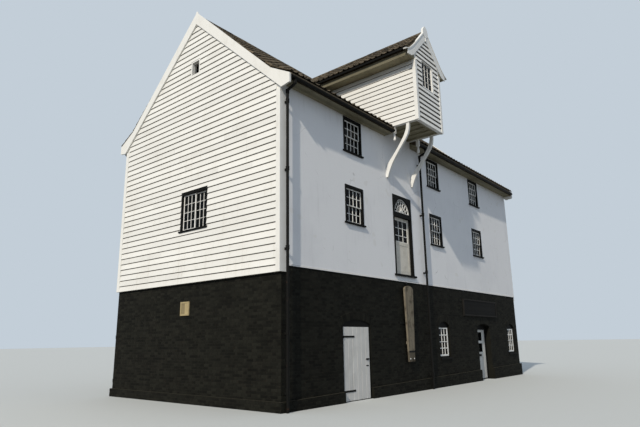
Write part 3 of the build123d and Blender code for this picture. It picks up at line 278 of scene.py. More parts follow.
@dataclass(frozen=True)
class Finish:
    """A painted or natural surface: change of tone, grain, rain streaks, spots, dust, bump and gloss.

    Sizes are in millimetres on the real thing, and shares and edges run from nothing to one.
    """

    name: str
    base: str
    dark: str
    light: str
    patch_mm: float = 900.0
    grain_mm: float = 20.0
    stretch: Triple = EVEN
    dark_share: float = 0.5
    light_share: float = 0.3
    rough: Flat = (0.45, 0.7)
    relief_mm: float = 0.6
    tone: float = 0.08
    streaks: float = 0.0
    streak_colour: str = "#4a463e"
    specular: float = 0.35
    alpha: float = 1.0
    spots: tuple[Blotches, ...] = ()
    dust: str = ""
    dust_share: float = 0.0
    patch_edges: Flat = (0.45, 0.75)
    light_edges: Flat = (0.5, 0.75)
    dark_edges: Flat = (0.5, 0.25)
    run_mm: float = 90.0
    run_stretch: Triple = (1.0, 1.0, 0.06)
    run_edges: Flat = (0.52, 0.72)
    run_place_edges: Flat = (0.4, 0.6)
    level_edges: Flat = (0.35, 0.8)
    bump: float = 0.8

    def marks(self, coat: Coat) -> None:
        """Adds what is special to a finish; here nothing."""

    def settle(self, coat: Coat) -> None:
        """Lays dust on the faces that look up.

        Args:
            coat: The material in the making.
        """
        normal = coat.node("ShaderNodeNewGeometry").outputs["True Normal"]
        level = coat.node("ShaderNodeSeparateXYZ", {}, {0: normal}).outputs["Z"]
        coat.paint(coat.band(level, self.level_edges, self.dust_share), self.dust)

    def material(self) -> bpy.types.Material:
        """Builds the material.

        Returns:
            The new material.
        """
        coat = Coat(self.name, self.base)
        broad = coat.noise(self.patch_mm, 3.0)
        fine = coat.noise(self.grain_mm, 5.0, self.stretch)
        coat.paint(coat.band(broad, self.patch_edges, self.dark_share), self.dark)
        coat.paint(coat.band(fine, self.light_edges, self.light_share), self.light)
        coat.paint(coat.band(fine, self.dark_edges, self.dark_share), self.dark)
        if self.streaks:
            runs = coat.band(coat.noise(self.run_mm, 3.0, self.run_stretch), self.run_edges, self.streaks)
            coat.paint(coat.both(runs, coat.band(broad, self.run_place_edges)), self.streak_colour)
        settings = {"operation": "MULTIPLY_ADD", 1: self.tone, 2: 1.0}
        lift = coat.node("ShaderNodeMath", settings, {0: coat.attribute("tone")}).outputs[0]
        links = {"Value": lift, "Color": coat.colour}
        coat.colour = coat.node("ShaderNodeHueSaturation", {}, links).outputs[0]
        self.marks(coat)
        for spot in self.spots:
            noise = coat.noise(spot.size_mm, spot.detail, spot.stretch)
            coat.paint(coat.band(noise, spot.edges, spot.share), spot.colour)
        if self.dust:
            self.settle(coat)
        gloss = coat.node("ShaderNodeMapRange", {3: self.rough[0], 4: self.rough[1]}, {0: fine})
        settings = {"Strength": self.bump, "Distance": self.relief_mm / 1000.0}
        bump = coat.node("ShaderNodeBump", settings, {"Height": fine})
        settings = {"Specular IOR Level": self.specular, "Alpha": self.alpha}
        links = {"Base Color": coat.colour, "Roughness": gloss.outputs[0], "Normal": bump.outputs[0]}
        shader = coat.node("ShaderNodeBsdfPrincipled", settings, links)
        coat.node("ShaderNodeOutputMaterial", {}, {"Surface": shader.outputs[0]})
        return coat.material


@dataclass(frozen=True)
class LimePlaster(Finish):
    """Smooth painted plaster on laths, with hairline cracks."""

    crack: str = "#a5a3a0"
    crack_share: float = 0.45
    crack_edges: Flat = (0.0035, 0.001)
    cell_scale: float = 0.55
    wander_scale: float = 1.6
    wander: float = 0.5
    gap_mm: float = 700.0
    gap_edges: Flat = (0.5, 0.62)

    def marks(self, coat: Coat) -> None:
        """Draws hairline cracks that wander and break off.

        Args:
            coat: The material in the making.
        """
        settings = {"Scale": self.wander_scale, "Detail": 4.0}
        wander = coat.node("ShaderNodeTexNoise", settings, {"Vector": coat.place}).outputs["Color"]
        settings = {"operation": "MULTIPLY_ADD", 1: (self.wander,) * 3}
        bent = coat.node("ShaderNodeVectorMath", settings, {0: wander, 2: coat.place}).outputs[0]
        settings = {"feature": "DISTANCE_TO_EDGE", "Scale": self.cell_scale}
        cells = coat.node("ShaderNodeTexVoronoi", settings, {"Vector": bent}).outputs[0]
        line = coat.band(cells, self.crack_edges, self.crack_share)
        coat.paint(coat.both(line, coat.band(coat.noise(self.gap_mm, 2.0), self.gap_edges)), self.crack)


@dataclass(frozen=True)
class LappedBoard(Finish):
    """Oil painted weatherboard, with a dark band under each lap: old dirt there, and painted shade of the
    lap's shadow.
    """

    # Colour and share of the band under each lap: old dirt, and painted shade of the lap's shadow.
    lap_dirt_and_shade: str = "#3b342a"
    lap_dirt_and_shade_share: float = 0.9
    undarkened: float = 0.835
    fade: float = 0.05

    def marks(self, coat: Coat) -> None:
        """Darkens the strip just below the lap of the board above: dirt there, and painted shade of the lap's
        shadow.
        """
        edges = (self.undarkened, self.undarkened + self.fade)
        coat.paint(coat.band(coat.attribute("rise"), edges, self.lap_dirt_and_shade_share), self.lap_dirt_and_shade)


@dataclass(frozen=True)
class StudioFloor(Finish):
    """A pale matt floor that throws less light back up than it shows."""

    bounce: str = "#62615b"

    def marks(self, coat: Coat) -> None:
        """Darkens the floor for light that bounces."""
        unseen = coat.node("ShaderNodeMath", {"operation": "SUBTRACT", 0: 1.0}, {1: looked_at(coat.tree)})
        coat.paint(unseen.outputs[0], self.bounce)


FINISHES = {
    # Many coats of tar: nearly black and dull, with brown wear, pale drifts and dust on the ledges.
    Slot.BRICK: Finish(
        "tar painted brick", "#1a1a16", "#100f0c", "#29281f", 700, 9,
        rough=(0.7, 0.95), relief_mm=2.0, tone=0.55, specular=0.10, dust="#4b473c", dust_share=0.55,
        spots=(
            Blotches("#32261c", 55.0, 4.0, (0.62, 0.72), 0.55),
            Blotches("#24231e", 420.0, 5.0, (0.52, 0.72), 0.6, (1.0, 1.0, 1.6)),
        ),
    ),
    # Slabs trodden smooth: grey-brown and matt.
    Slot.FLOOR_STONE: Finish("worn stone slab", "#77736b", "#55524c", "#8f8b82", 600, 12, rough=(0.7, 0.9)),
    # A dull white skin with soft drifts, patched spots, faint rain streaks and hairline cracks.
    Slot.PLASTER: LimePlaster(
        "painted lime plaster", "#f0f0f1", "#e1e1e4", "#f5f5f5", 1600, 14,
        light_share=0.25, rough=(0.78, 0.94), relief_mm=0.9, streaks=0.16, streak_colour="#c3c2c0",
        specular=0.2, dust="#8d8a84", dust_share=0.85,
        spots=(Blotches("#e4e3e0", 380.0, 1.0, (0.70, 0.73), 0.5),),
    ),
    # Bright and a little chalky, with the grain drawn along each board.
    Slot.BOARDS: LappedBoard(
        "painted softwood board", "#ebeae6", "#d9d6cf", "#f0efec", 1300, 16, (1.0, 1.0, 9.0),
        dark_share=0.35, light_share=0.35, rough=(0.42, 0.62), relief_mm=0.5, tone=0.05,
        streaks=0.2, streak_colour="#b5ae9f",
    ),
    # Bare wood, scrubbed: warm, with long grain.
    Slot.FLOOR_BOARDS: Finish(
        "scrubbed pine floor", "#8a6d4c", "#5f4a33", "#a38762", 800, 10, (0.08, 1.0, 1.0)
    ),
    # Rough boards in a dull grey-brown that changes from board to board; the colour is darkened as painted
    # shade under the eaves.
    Slot.SOFFIT: Finish(
        "soffit board with painted shade", "#918b75", "#635e4a", "#aca68e", 500, 14, (0.2, 1.0, 1.0),
        rough=(0.65, 0.88), tone=0.35, specular=0.2,
    ),
    # Brushed gloss gone soft: warm white with faint runs below the joints.
    Slot.WHITE: Finish(
        "white oil painted joinery", "#efeeea", "#dad6ce", "#f5f4f1", 500, 12, (1.0, 1.0, 0.3),
        dark_share=0.3, rough=(0.35, 0.55), relief_mm=0.3, tone=0.04, streaks=0.2, streak_colour="#b3aea3",
    ),
    # Hand-made clay weathered brown: dark moss, grey lichen and a few ochre new ones.
    Slot.TILE: Finish(
        "weathered clay pantile", "#50473a", "#2f2b23", "#776651", 420, 11,
        dark_share=0.6, light_share=0.5, rough=(0.78, 0.96), relief_mm=1.2, tone=0.75, specular=0.2,
        spots=(
            Blotches("#24261c", 160.0, 6.0, (0.55, 0.68), 0.7),
            Blotches("#8d8a76", 34.0, 5.0, (0.60, 0.68), 0.75),
            Blotches("#7a5f3a", 260.0, 3.0, (0.60, 0.72), 0.45),
        ),
    ),
    # Black paint that has lost its shine.
    Slot.BLACK: Finish(
        "black oil painted joinery", "#131312", "#0b0b0a", "#21201f", 400, 10, (1.0, 1.0, 0.3),
        rough=(0.5, 0.75), relief_mm=0.4, specular=0.06,
    ),
    # Old drawn glass: glossy and a little wavy, so that reflections swim; near black and nearly opaque, as
    # painted shade of the dark rooms behind.
    Slot.GLASS: Finish(
        "old drawn window glass", "#090b0b", "#060707", "#0f1312", 300, 120,
        rough=(0.03, 0.08), relief_mm=0.8, specular=0.05, alpha=0.91,
    ),
    # Cream paint faded and rubbed, with grey runs.
    Slot.GREIGE: Finish(
        "faded oil painted leaf", "#d8d3c7", "#bdb6a9", "#e2ded5", 260, 30, (1.0, 1.0, 0.4),
        dark_share=0.6, light_share=0.45, rough=(0.5, 0.75), relief_mm=0.5, tone=0.05,
        streaks=0.3, streak_colour="#7b7164",
    ),
    # Pale grey paint over upright grain, a shade apart from plank to plank.
    Slot.GREY_PLANKS: Finish(
        "grey oil painted plank", "#d9d7d3", "#bdbbb6", "#e6e5e2", 420, 9, (1.0, 1.0, 0.08),
        dark_share=0.45, light_share=0.35, rough=(0.5, 0.72), tone=0.07, streaks=0.3, streak_colour="#85837f",
    ),
    # Off-white paint with a soft gloss.
    Slot.PALE_LEAF: Finish(
        "pale oil painted leaf", "#dcdbd6", "#c3c1ba", "#e6e5e1", 420, 12, (1.0, 1.0, 0.2),
        dark_share=0.4, rough=(0.4, 0.6), relief_mm=0.4, tone=0.05, streaks=0.3, streak_colour="#8d8a80",
    ),
    # Cast and wrought iron under black paint: a soft gloss, with rust where water stands.
    Slot.IRON: Finish(
        "black painted cast iron", "#131312", "#0c0c0b", "#222221", 300, 8,
        rough=(0.45, 0.7), relief_mm=0.5, specular=0.10,
        spots=(Blotches("#5a3a26", 70.0, 5.0, (0.64, 0.72), 0.6),),
    ),
    # Bare oak out in the rain: silver and brown streaks along a deep open grain.
    Slot.OAK: Finish(
        "weathered oak board", "#7c7465", "#3f382e", "#a49b8b", 240, 14, (1.0, 1.0, 0.02),
        dark_share=0.85, light_share=0.6, rough=(0.8, 0.96), relief_mm=2.0, tone=0.45,
        streaks=0.75, streak_colour="#352f27", specular=0.15,
    ),
    # Yellowed cream paint; the left board is darker as painted shade.
    Slot.CREAM: Finish(
        "cream oil painted board", "#a5956f", "#7e6d4f", "#b8aa84", 200, 10, (1.0, 1.0, 0.15),
        rough=(0.5, 0.7), tone=0.35,
    ),
    # Matt black paint; the raised frame is a shade lighter as painted highlight.
    Slot.SIGN: Finish(
        "black painted sign board", "#121110", "#0b0b0a", "#1d1c1b", 500, 14, (0.1, 1.0, 1.0),
        dark_share=0.4, rough=(0.55, 0.75), relief_mm=0.4, tone=2.0, streaks=0.25,
        streak_colour="#242320", specular=0.06,
    ),
}


def rectangle(left: float, right: float, bottom: float, top: float) -> Outline:
    """Lists the corners of a rectangle anticlockwise.

    Args:
        left: Lowest place along the wall.
        right: Highest place along the wall.
        bottom: Lowest height.
        top: Highest height.

    Returns:
        Four corners.
    """
    return [(left, bottom), (right, bottom), (right, top), (left, top)]


def arc(centre: Flat, radius: float, start: float, end: float, steps: int) -> Outline:
    """Lists points along an arc.

    Args:
        centre: The arc's centre.
        radius: Its radius.
        start: First angle in degrees.
        end: Last angle in degrees.
        steps: Number of chords.

    Returns:
        The points, one more than the chords.
    """
    angles = [math.radians(start + (end - start) * i / steps) for i in range(steps + 1)]
    return [(centre[0] + radius * math.cos(a), centre[1] + radius * math.sin(a)) for a in angles]


def clip(outline: Outline, first: Flat, second: Flat) -> Outline:
    """Keeps the part of an outline to the left of a line.

    Args:
        outline: A convex outline, anticlockwise.
        first: A point on the line.
        second: A later point on the line.

    Returns:
        What is left, which may be empty.
    """
    across, rise = second[0] - first[0], second[1] - first[1]
    sides = [across * (t - first[1]) - rise * (s - first[0]) for s, t in outline]
    kept: Outline = []
    for i, (here, side) in enumerate(zip(outline, sides)):
        there, other = outline[(i + 1) % len(outline)], sides[(i + 1) % len(outline)]
        if side >= 0:
            kept.append(here)
        if (side > 0 > other) or (side < 0 < other):
            share = side / (side - other)
            kept.append((here[0] + (there[0] - here[0]) * share, here[1] + (there[1] - here[1]) * share))
    return kept


def between(outline: Outline, low: float, high: float) -> Outline:
    """Keeps the part of a convex outline between two places along the wall.

    Args:
        outline: The outline, anticlockwise.
        low: The first place.
        high: The last place.

    Returns:
        What is left, which may be empty.
    """
    return clip(clip(outline, (low, 1.0), (low, 0.0)), (high, 0.0), (high, 1.0))


def area(outline: Outline) -> float:
    """Measures an outline whose corners run anticlockwise."""
    return 0.5 * sum(a[0] * b[1] - b[0] * a[1] for a, b in zip(outline, outline[1:] + outline[:1]))


def cut_out(outlines: list[Outline], hole: Outline, least: float = 0.0004) -> list[Outline]:
    """Takes a convex hole out of convex outlines.

    Args:
        outlines: The convex outlines.
        hole: The hole, anticlockwise.
        least: Slivers below this area are dropped.

    Returns:
        Convex outlines that leave the hole free.
    """
    result: list[Outline] = []
    for outline in outlines:
        rest = outline
        for first, second in zip(hole, hole[1:] + hole[:1]):
            outside = clip(rest, second, first) if rest else []
            if len(outside) > 2 and area(outside) > least:
                result.append(outside)
            rest = clip(rest, first, second) if rest else []
    return result


def reach(outline: Outline) -> Box:
    """Gives an outline's left, right, bottom and top."""
    places, heights = zip(*outline)
    return (min(places), max(places), min(heights), max(heights))


def cut_out_all(outlines: list[Outline], holes: list[Outline]) -> list[Outline]:
    """Takes several convex holes out of convex outlines.

    Args:
        outlines: The outlines.
        holes: The holes.

    Returns:
        What is left, with outlines that no hole touches kept whole.
    """
    for hole in holes:
        left, right, bottom, top = reach(hole)
        result: list[Outline] = []
        for outline in outlines:
            low, high, under, over = reach(outline)
            apart = high <= left or low >= right or over <= bottom or under >= top
            result += [outline] if apart else cut_out([outline], hole)
        outlines = result
    return outlines


def inset(outline: Outline, margin: float) -> Outline:
    """Moves every edge of a convex outline inwards.

    Args:
        outline: The outline, anticlockwise.
        margin: How far each edge moves.

    Returns:
        The smaller outline, with as many corners.
    """
    count = len(outline)
    lines = []
    for i in range(count):
        (s0, t0), (s1, t1) = outline[i], outline[(i + 1) % count]
        length = math.hypot(s1 - s0, t1 - t0) or 1e-9
        normal = (-(t1 - t0) / length, (s1 - s0) / length)
        lines.append((normal, normal[0] * s0 + normal[1] * t0 + margin))
    corners: Outline = []
    for i in range(count):
        (a, b), c = lines[i - 1]
        (d, e), f = lines[i]
        det = a * e - b * d
        if abs(det) < 1e-6:
            corners.append((outline[i][0] + d * margin, outline[i][1] + e * margin))
        else:
            corners.append(((c * e - b * f) / det, (a * f - c * d) / det))
    return corners


def beside(line: Outline, distance: float) -> Outline:
    """Moves a line to its left.

    Args:
        line: Its points.
        distance: How far.

    Returns:
        The moved points.
    """
    moved: Outline = []
    for i, (s, t) in enumerate(line):
        before, after = line[max(0, i - 1)], line[min(len(line) - 1, i + 1)]
        across, rise = after[0] - before[0], after[1] - before[1]
        length = math.hypot(across, rise)
        moved.append((s - rise / length * distance, t + across / length * distance))
    return moved


@dataclass(frozen=True)
class Face:
    """A flat side of the building: a place along it, a height up it and a distance out of it."""

    origin: Vector
    along: Vector
    up: Vector = field(default_factory=lambda: UP.copy())

    @property
    def outward(self) -> Vector:
        """Gives the direction out of the face."""
        return self.along.cross(self.up)

    def place(self, s: float, t: float, out: float = 0.0) -> Vector:
        """Gives the point at s along, t up and out of the face."""
        return self.origin + self.along * s + self.up * t + self.outward * out


FRONT_FACE = Face(Vector((0, FRONT, 0)), Vector((1, 0, 0)))
REAR_FACE = Face(Vector((0, -FRONT, 0)), Vector((-1, 0, 0)))
LEFT_BRICK = Face(Vector((-END, 0, 0)), Vector((0, -1, 0)))
RIGHT_BRICK = Face(Vector((END, 0, 0)), Vector((0, 1, 0)))
LEFT_GABLE = Face(Vector((-GABLE_FACE, 0, 0)), Vector((0, -1, 0)))
RIGHT_GABLE = Face(Vector((GABLE_FACE, 0, 0)), Vector((0, 1, 0)))
LUCAM_FACE = Face(Vector((LUCAM_X, LUCAM_FRONT, 0)), Vector((1, 0, 0)))
LUCAM_LEFT = Face(Vector((LUCAM_X - LUCAM_HALF, 0, 0)), Vector((0, -1, 0)))
LUCAM_RIGHT = Face(Vector((LUCAM_X + LUCAM_HALF, 0, 0)), Vector((0, 1, 0)))


class Draft:
    """Collects corners and faces of one piece, with a tone for each solid."""

    def __init__(self) -> None:
        """Starts an empty piece."""
        self.corners: list[Vector] = []
        self.faces: list[list[int]] = []
        self.tones: list[float] = []
        self.rises: list[float] = []

    def ring(self, points: list[Vector], tone: float, rises: list[float] | None = None) -> list[int]:
        """Adds corners.

        Args:
            points: The places of the corners.
            tone: How light the solid is, from minus one to one.
            rises: For each corner, how far up its board it is.

        Returns:
            The numbers of the new corners.
        """
        start = len(self.corners)
        self.corners += points
        self.tones += [tone] * len(points)
        self.rises += rises or [0.0] * len(points)
        return list(range(start, start + len(points)))

    def loft(self, rings: list[list[Vector]], tone: float = 0.0) -> None:
        """Adds a solid through rings of equal length, each anticlockwise seen from the last one.

        Args:
            rings: The rings in order; the first and the last get a cap.
            tone: How light the solid is.
        """
        rows = [self.ring(points, tone) for points in rings]
        count = len(rows[0])
        for low, high in zip(rows, rows[1:]):
            for i in range(count):
                j = (i + 1) % count
                self.faces.append([low[i], low[j], high[j], high[i]])
        self.faces += [rows[0][::-1], rows[-1]]

    def slab(
        self, face: Face, outline: Outline, back: float, front: float, chamfer: float = 0.0, tone: float = 0.0
    ) -> None:
        """Adds a flat board, which may have a chamfered front.

        Args:
            face: The side it lies on.
            outline: Its convex outline, anticlockwise.
            back: Where its back is, out of the face.
            front: Where its front is.
            chamfer: Size of the chamfer round the front.
            tone: How light it is.
        """
        levels = [(outline, back), (outline, front)]
        if chamfer:
            levels = [(outline, back), (outline, front - chamfer), (inset(outline, chamfer), front)]
        self.loft([[face.place(s, t, out) for s, t in ring] for ring, out in levels], tone)

    def surround(self, face: Face, box: Box, inner: Box, back: float, front: float, chamfer: float) -> None:
        """Adds the four pieces of a frame, uprights first.

        Args:
            face: The side it lies on.
            box: The frame's left, right, bottom and top.
            inner: Those of the hole in it.
            back: Where its back is, out of the face.
            front: Where its front is.
            chamfer: Size of the chamfers.
        """
        left, right, bottom, top = box
        low, high, under, over = inner
        uprights = [(left, low, bottom, top), (high, right, bottom, top)]
        for part in (*uprights, (low, high, bottom, under), (low, high, over, top)):
            self.slab(face, rectangle(*part), back, front, chamfer)

    def strip(self, face: Face, inner: Outline, outer: Outline, levels: Flat, tone: float = 0.0) -> None:
        """Adds a flat strip between two lines that run anticlockwise, the outer one round the inner one.

        Args:
            face: The side it lies on.
            inner: Points of the inner line.
            outer: As many points of the outer line.
            levels: Its back and front, out of the face.
            tone: How light it is.
        """
        back, front = levels
        rings = [
            [face.place(*a, back), face.place(*a, front), face.place(*b, front), face.place(*b, back)]
            for a, b in zip(inner, outer)
        ]
        self.loft(rings, tone)

    def bend(self, face: Face, middle: Flat, radii: Flat, levels: Flat, sweep: Flat, steps: int) -> None:
        """Adds a strip along an arc, between two radii, two levels and two angles in degrees."""
        self.strip(face, *(arc(middle, radius, *sweep, steps) for radius in radii), levels)

    def patch(self, face: Face, outline: Outline, out: float, tone: float, low: float, high: float) -> None:
        """Adds a flat face for a tree to thicken, with a rise from nothing at low to one at high."""
        rises = [(t - low) / (high - low) for _, t in outline]
        self.faces.append(self.ring([face.place(s, t, out) for s, t in outline], tone, rises))

    def finish(self, name: str, material: bpy.types.Material | None = None) -> bpy.types.Object:
        """Makes the piece.

        Args:
            name: The piece's name.
            material: Its material.

        Returns:
            The new object.
        """
        mesh = bpy.data.meshes.new(name)
        mesh.from_pydata(self.corners, [], self.faces)
        for label, values in (("tone", self.tones), ("rise", self.rises)):
            mesh.attributes.new(label, "FLOAT", "POINT").data.foreach_set("value", values)
        smooth(mesh, CREASE)
        if material:
            mesh.materials.append(material)
        return add_object(name, mesh)


@dataclass(frozen=True)
class Spot:
    """Where one repeated piece goes, how it is turned and sized, and how light it is."""

    place: Vector
    turn: Triple = (0.0, 0.0, 0.0)
    size: Triple = EVEN
    tone: float = 0.0


class NodeTool(TreeOwner):
    """A geometry tree with named inputs; its result becomes a plain mesh."""

    def __init__(self, name: str, inputs: dict[str, str]) -> None:
        """Opens the tree.

        Args:
            name: The tree's name.
            inputs: Socket types by input name, without their common beginning.
        """
        self.tree = bpy.data.node_groups.new(name, "GeometryNodeTree")
        self.ids: dict[str, str] = {}
        add_socket = self.tree.interface.new_socket
        for label, kind in {"Geometry": "Geometry", **inputs, "Finish": "Material"}.items():
            socket = add_socket(name=label, in_out="INPUT", socket_type="NodeSocket" + kind)
            self.ids[label] = socket.identifier
        add_socket(name="Geometry", in_out="OUTPUT", socket_type="NodeSocketGeometry")
        self.inlet = self.node("NodeGroupInput").outputs

    def close(self, geometry: Socket) -> None:
        """Ends the tree with real geometry and the finish.

        Args:
            geometry: What the tree made.
        """
        real = self.node("GeometryNodeRealizeInstances", {}, {"Geometry": geometry})
        links = {"Geometry": real.outputs[0], "Material": self.inlet["Finish"]}
        coated = self.node("GeometryNodeSetMaterial", {}, links)
        self.node("NodeGroupOutput", {}, {"Geometry": coated.outputs[0]})

    def apply(self, source: bpy.types.Object, name: str, values: Settings, crease: float) -> bpy.types.Object:
        """Runs the tree on an object and keeps the result alone.

        Args:
            source: The object to work on; it is removed.
            name: Name of the result.
            values: Input values by name.
            crease: Edges sharper than this many degrees stay sharp.

        Returns:
            The resulting plain object.
        """
        modifier = source.modifiers.new(self.tree.name, "NODES")
        modifier.node_group = self.tree
        for label, value in values.items():
            modifier[self.ids[label]] = value
        source.update_tag()
        bpy.context.view_layer.update()
        graph = bpy.context.evaluated_depsgraph_get()
        mesh = bpy.data.meshes.new_from_object(source.evaluated_get(graph), depsgraph=graph)
        mesh.name = name
        source.modifiers.remove(modifier)
        bpy.data.objects.remove(source)
        smooth(mesh, crease)
        return add_object(name, mesh)


class CladdingTool(NodeTool):
    """Turns flat outlines into boards or bricks, which may stand out more at their lower edge."""

    def __init__(self) -> None:
        """Builds the tree."""
        inputs = {"Outward": "Vector", "Lower Edge": "Float", "Upper Edge": "Float", "Front Share": "Float"}
        super().__init__("lapped cladding", inputs)
        inlet, node = self.inlet, self.node
        links = {"Mesh": inlet["Geometry"], "Offset": inlet["Outward"], "Offset Scale": inlet["Upper Edge"]}
        raised = node("GeometryNodeExtrudeMesh", {"mode": "FACES", "Individual": True}, links)
        rise = node("GeometryNodeInputNamedAttribute", {"data_type": "FLOAT", "Name": "rise"})
        fall = node("ShaderNodeMath", {"operation": "SUBTRACT", 0: 1.0}, {1: rise.outputs[0]})
        links = {0: inlet["Lower Edge"], 1: inlet["Upper Edge"]}
        extra = node("ShaderNodeMath", {"operation": "SUBTRACT"}, links)
        out = node("ShaderNodeMath", {"operation": "MULTIPLY"}, {0: fall.outputs[0], 1: extra.outputs[0]})
        links = {0: inlet["Outward"], "Scale": out.outputs[0]}
        shift = node("ShaderNodeVectorMath", {"operation": "SCALE"}, links)
        top = raised.outputs["Top"]
        links = {"Geometry": raised.outputs["Mesh"], "Selection": top, "Offset": shift.outputs[0]}
        lapped = node("GeometryNodeSetPosition", {}, links)
        links = {"Geometry": lapped.outputs[0], "Selection": top, "Scale": inlet["Front Share"]}
        eased = node("GeometryNodeScaleElements", {"domain": "FACE"}, links)
        back = node("GeometryNodeFlipFaces", {}, {"Mesh": inlet["Geometry"]})
        both = node("GeometryNodeJoinGeometry")
        for part in (eased, back):
            self.tree.links.new(part.outputs[0], both.inputs[0])
        joined = node("GeometryNodeMergeByDistance", {"Distance": 0.00004}, {"Geometry": both.outputs[0]})
        self.close(joined.outputs[0])


class ScatterTool(NodeTool):
    """Puts a piece on every point of a mesh, with the point's own turn and size and a little seeded play."""

    def __init__(self) -> None:
        """Builds the tree."""
        super().__init__("repeated piece", {"Piece": "Object", "Play": "Float", "Seed": "Int"})
        inlet, node = self.inlet, self.node
        piece = node("GeometryNodeObjectInfo", {}, {"Object": inlet["Piece"]})
        turn, size = (
            node("GeometryNodeInputNamedAttribute", {"data_type": "FLOAT_VECTOR", "Name": name}).outputs[0]
            for name in ("turn", "size")
        )
        settings = {"data_type": "FLOAT_VECTOR", 0: (-1.0, -1.0, -1.0), 1: EVEN}
        chance = node("FunctionNodeRandomValue", settings, {"Seed": inlet["Seed"]})
        links = {0: chance.outputs[0], "Scale": inlet["Play"]}
        play = node("ShaderNodeVectorMath", {"operation": "SCALE"}, links)
        total = node("ShaderNodeVectorMath", {"operation": "ADD"}, {0: turn, 1: play.outputs[0]})
        rotation = node("FunctionNodeEulerToRotation", {}, {0: total.outputs[0]})
        links = {
            "Points": inlet["Geometry"], "Instance": piece.outputs["Geometry"],
            "Rotation": rotation.outputs[0], "Scale": size,
        }
        self.close(node("GeometryNodeInstanceOnPoints", {}, links).outputs[0])


class Workshop:
    """Holds the finishes and the geometry tools, makes pieces and hands them to the frame."""

    def __init__(self) -> None:
        """Makes every finish and tool once."""
        self.materials = {slot: finish.material() for slot, finish in FINISHES.items()}
        self.cladding = CladdingTool()
        self.scatterer = ScatterTool()
        self.count = 0

    def hand_over(
        self, made: bpy.types.Object, body: str = "mill", instead_of: tuple[str, ...] = ()
    ) -> None:
        """Gives a finished piece to the frame and reports it.

        Args:
            made: The piece.
            body: The body that it moves with.
            instead_of: The CAD nodes that it stands for.
        """
        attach(made, body)
        if instead_of:
            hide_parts(*instead_of)
        made.data.calc_loop_triangles()
        self.count += len(made.data.loop_triangles)
        log.info("%s: %d triangles on %s", made.name, len(made.data.loop_triangles), body)

    def plain(
        self, draft: Draft, name: str, slot: Slot, body: str = "mill", instead_of: tuple[str, ...] = ()
    ) -> None:
        """Makes a piece from a draft as it is and hands it over."""
        self.hand_over(draft.finish(name, self.materials[slot]), body, instead_of)

    def clad(
        self, draft: Draft, name: str, slot: Slot, face: Face, lower: float, upper: float, share: float = 1.0
    ) -> None:
        """Thickens flat outlines into one piece.

        Args:
            draft: The outlines.
            name: The piece's name.
            slot: Its finish.
            face: The wall.
            lower: How far each lower edge stands out.
            upper: How far each upper edge stands out.
            share: Size of each front compared with its back.
        """
        values = {
            "Outward": tuple(face.outward), "Lower Edge": lower, "Upper Edge": upper, "Front Share": share,
            "Finish": self.materials[slot],
        }
        self.hand_over(self.cladding.apply(draft.finish(name + "_plan"), name, values, CREASE))

    def scatter(
        self, piece: Draft, spots: list[Spot], name: str, slot: Slot, body: str = "mill",
        instead_of: tuple[str, ...] = (), play: float = 0.0, seed: int = 1, crease: float = CREASE,
    ) -> None:
        """Repeats a piece at many spots.

        Args:
            piece: What is repeated, drawn at the origin.
            spots: Where it goes.
            name: Name of the result.
            slot: Its finish.
            body: The body that it moves with.
            instead_of: The CAD nodes that it stands for.
            play: Largest chance turn in radians.
            seed: Seed of the chance turns.
            crease: Edges sharper than this many degrees stay sharp.
        """
        source = piece.finish(name + "_pattern")
        source.data.attributes.remove(source.data.attributes["tone"])
        mesh = bpy.data.meshes.new(name + "_spots")
        mesh.from_pydata([s.place for s in spots], [], [])
        for label in ("turn", "size"):
            flat = [v for s in spots for v in getattr(s, label)]
            mesh.attributes.new(label, "FLOAT_VECTOR", "POINT").data.foreach_set("vector", flat)
        mesh.attributes.new("tone", "FLOAT", "POINT").data.foreach_set("value", [s.tone for s in spots])
        values = {"Piece": source, "Play": play, "Seed": seed, "Finish": self.materials[slot]}
        made = self.scatterer.apply(add_object(name + "_spots", mesh), name, values, crease)
        bpy.data.objects.remove(source)
        self.hand_over(made, body, instead_of)


@dataclass
class Assembly:
    """One sub-assembly of the mill; its sizes are in metres."""

    shop: Workshop

    def build(self) -> None:
        """Makes the pieces and hands them over."""


@dataclass
class PaintedNodes(Assembly):
    """Gives every CAD node its finish from the record."""

    def build(self) -> None:
        """Paints the nodes."""
        for row in frame["record"]["subparts"]:
            node = frame["nodes"][row["node"]]
            node.data.materials.clear()
            node.data.materials.append(self.shop.materials[Slot(row["material_slot"])])
            log.info("%s: painted as %s", row["node"], row["material_slot"])


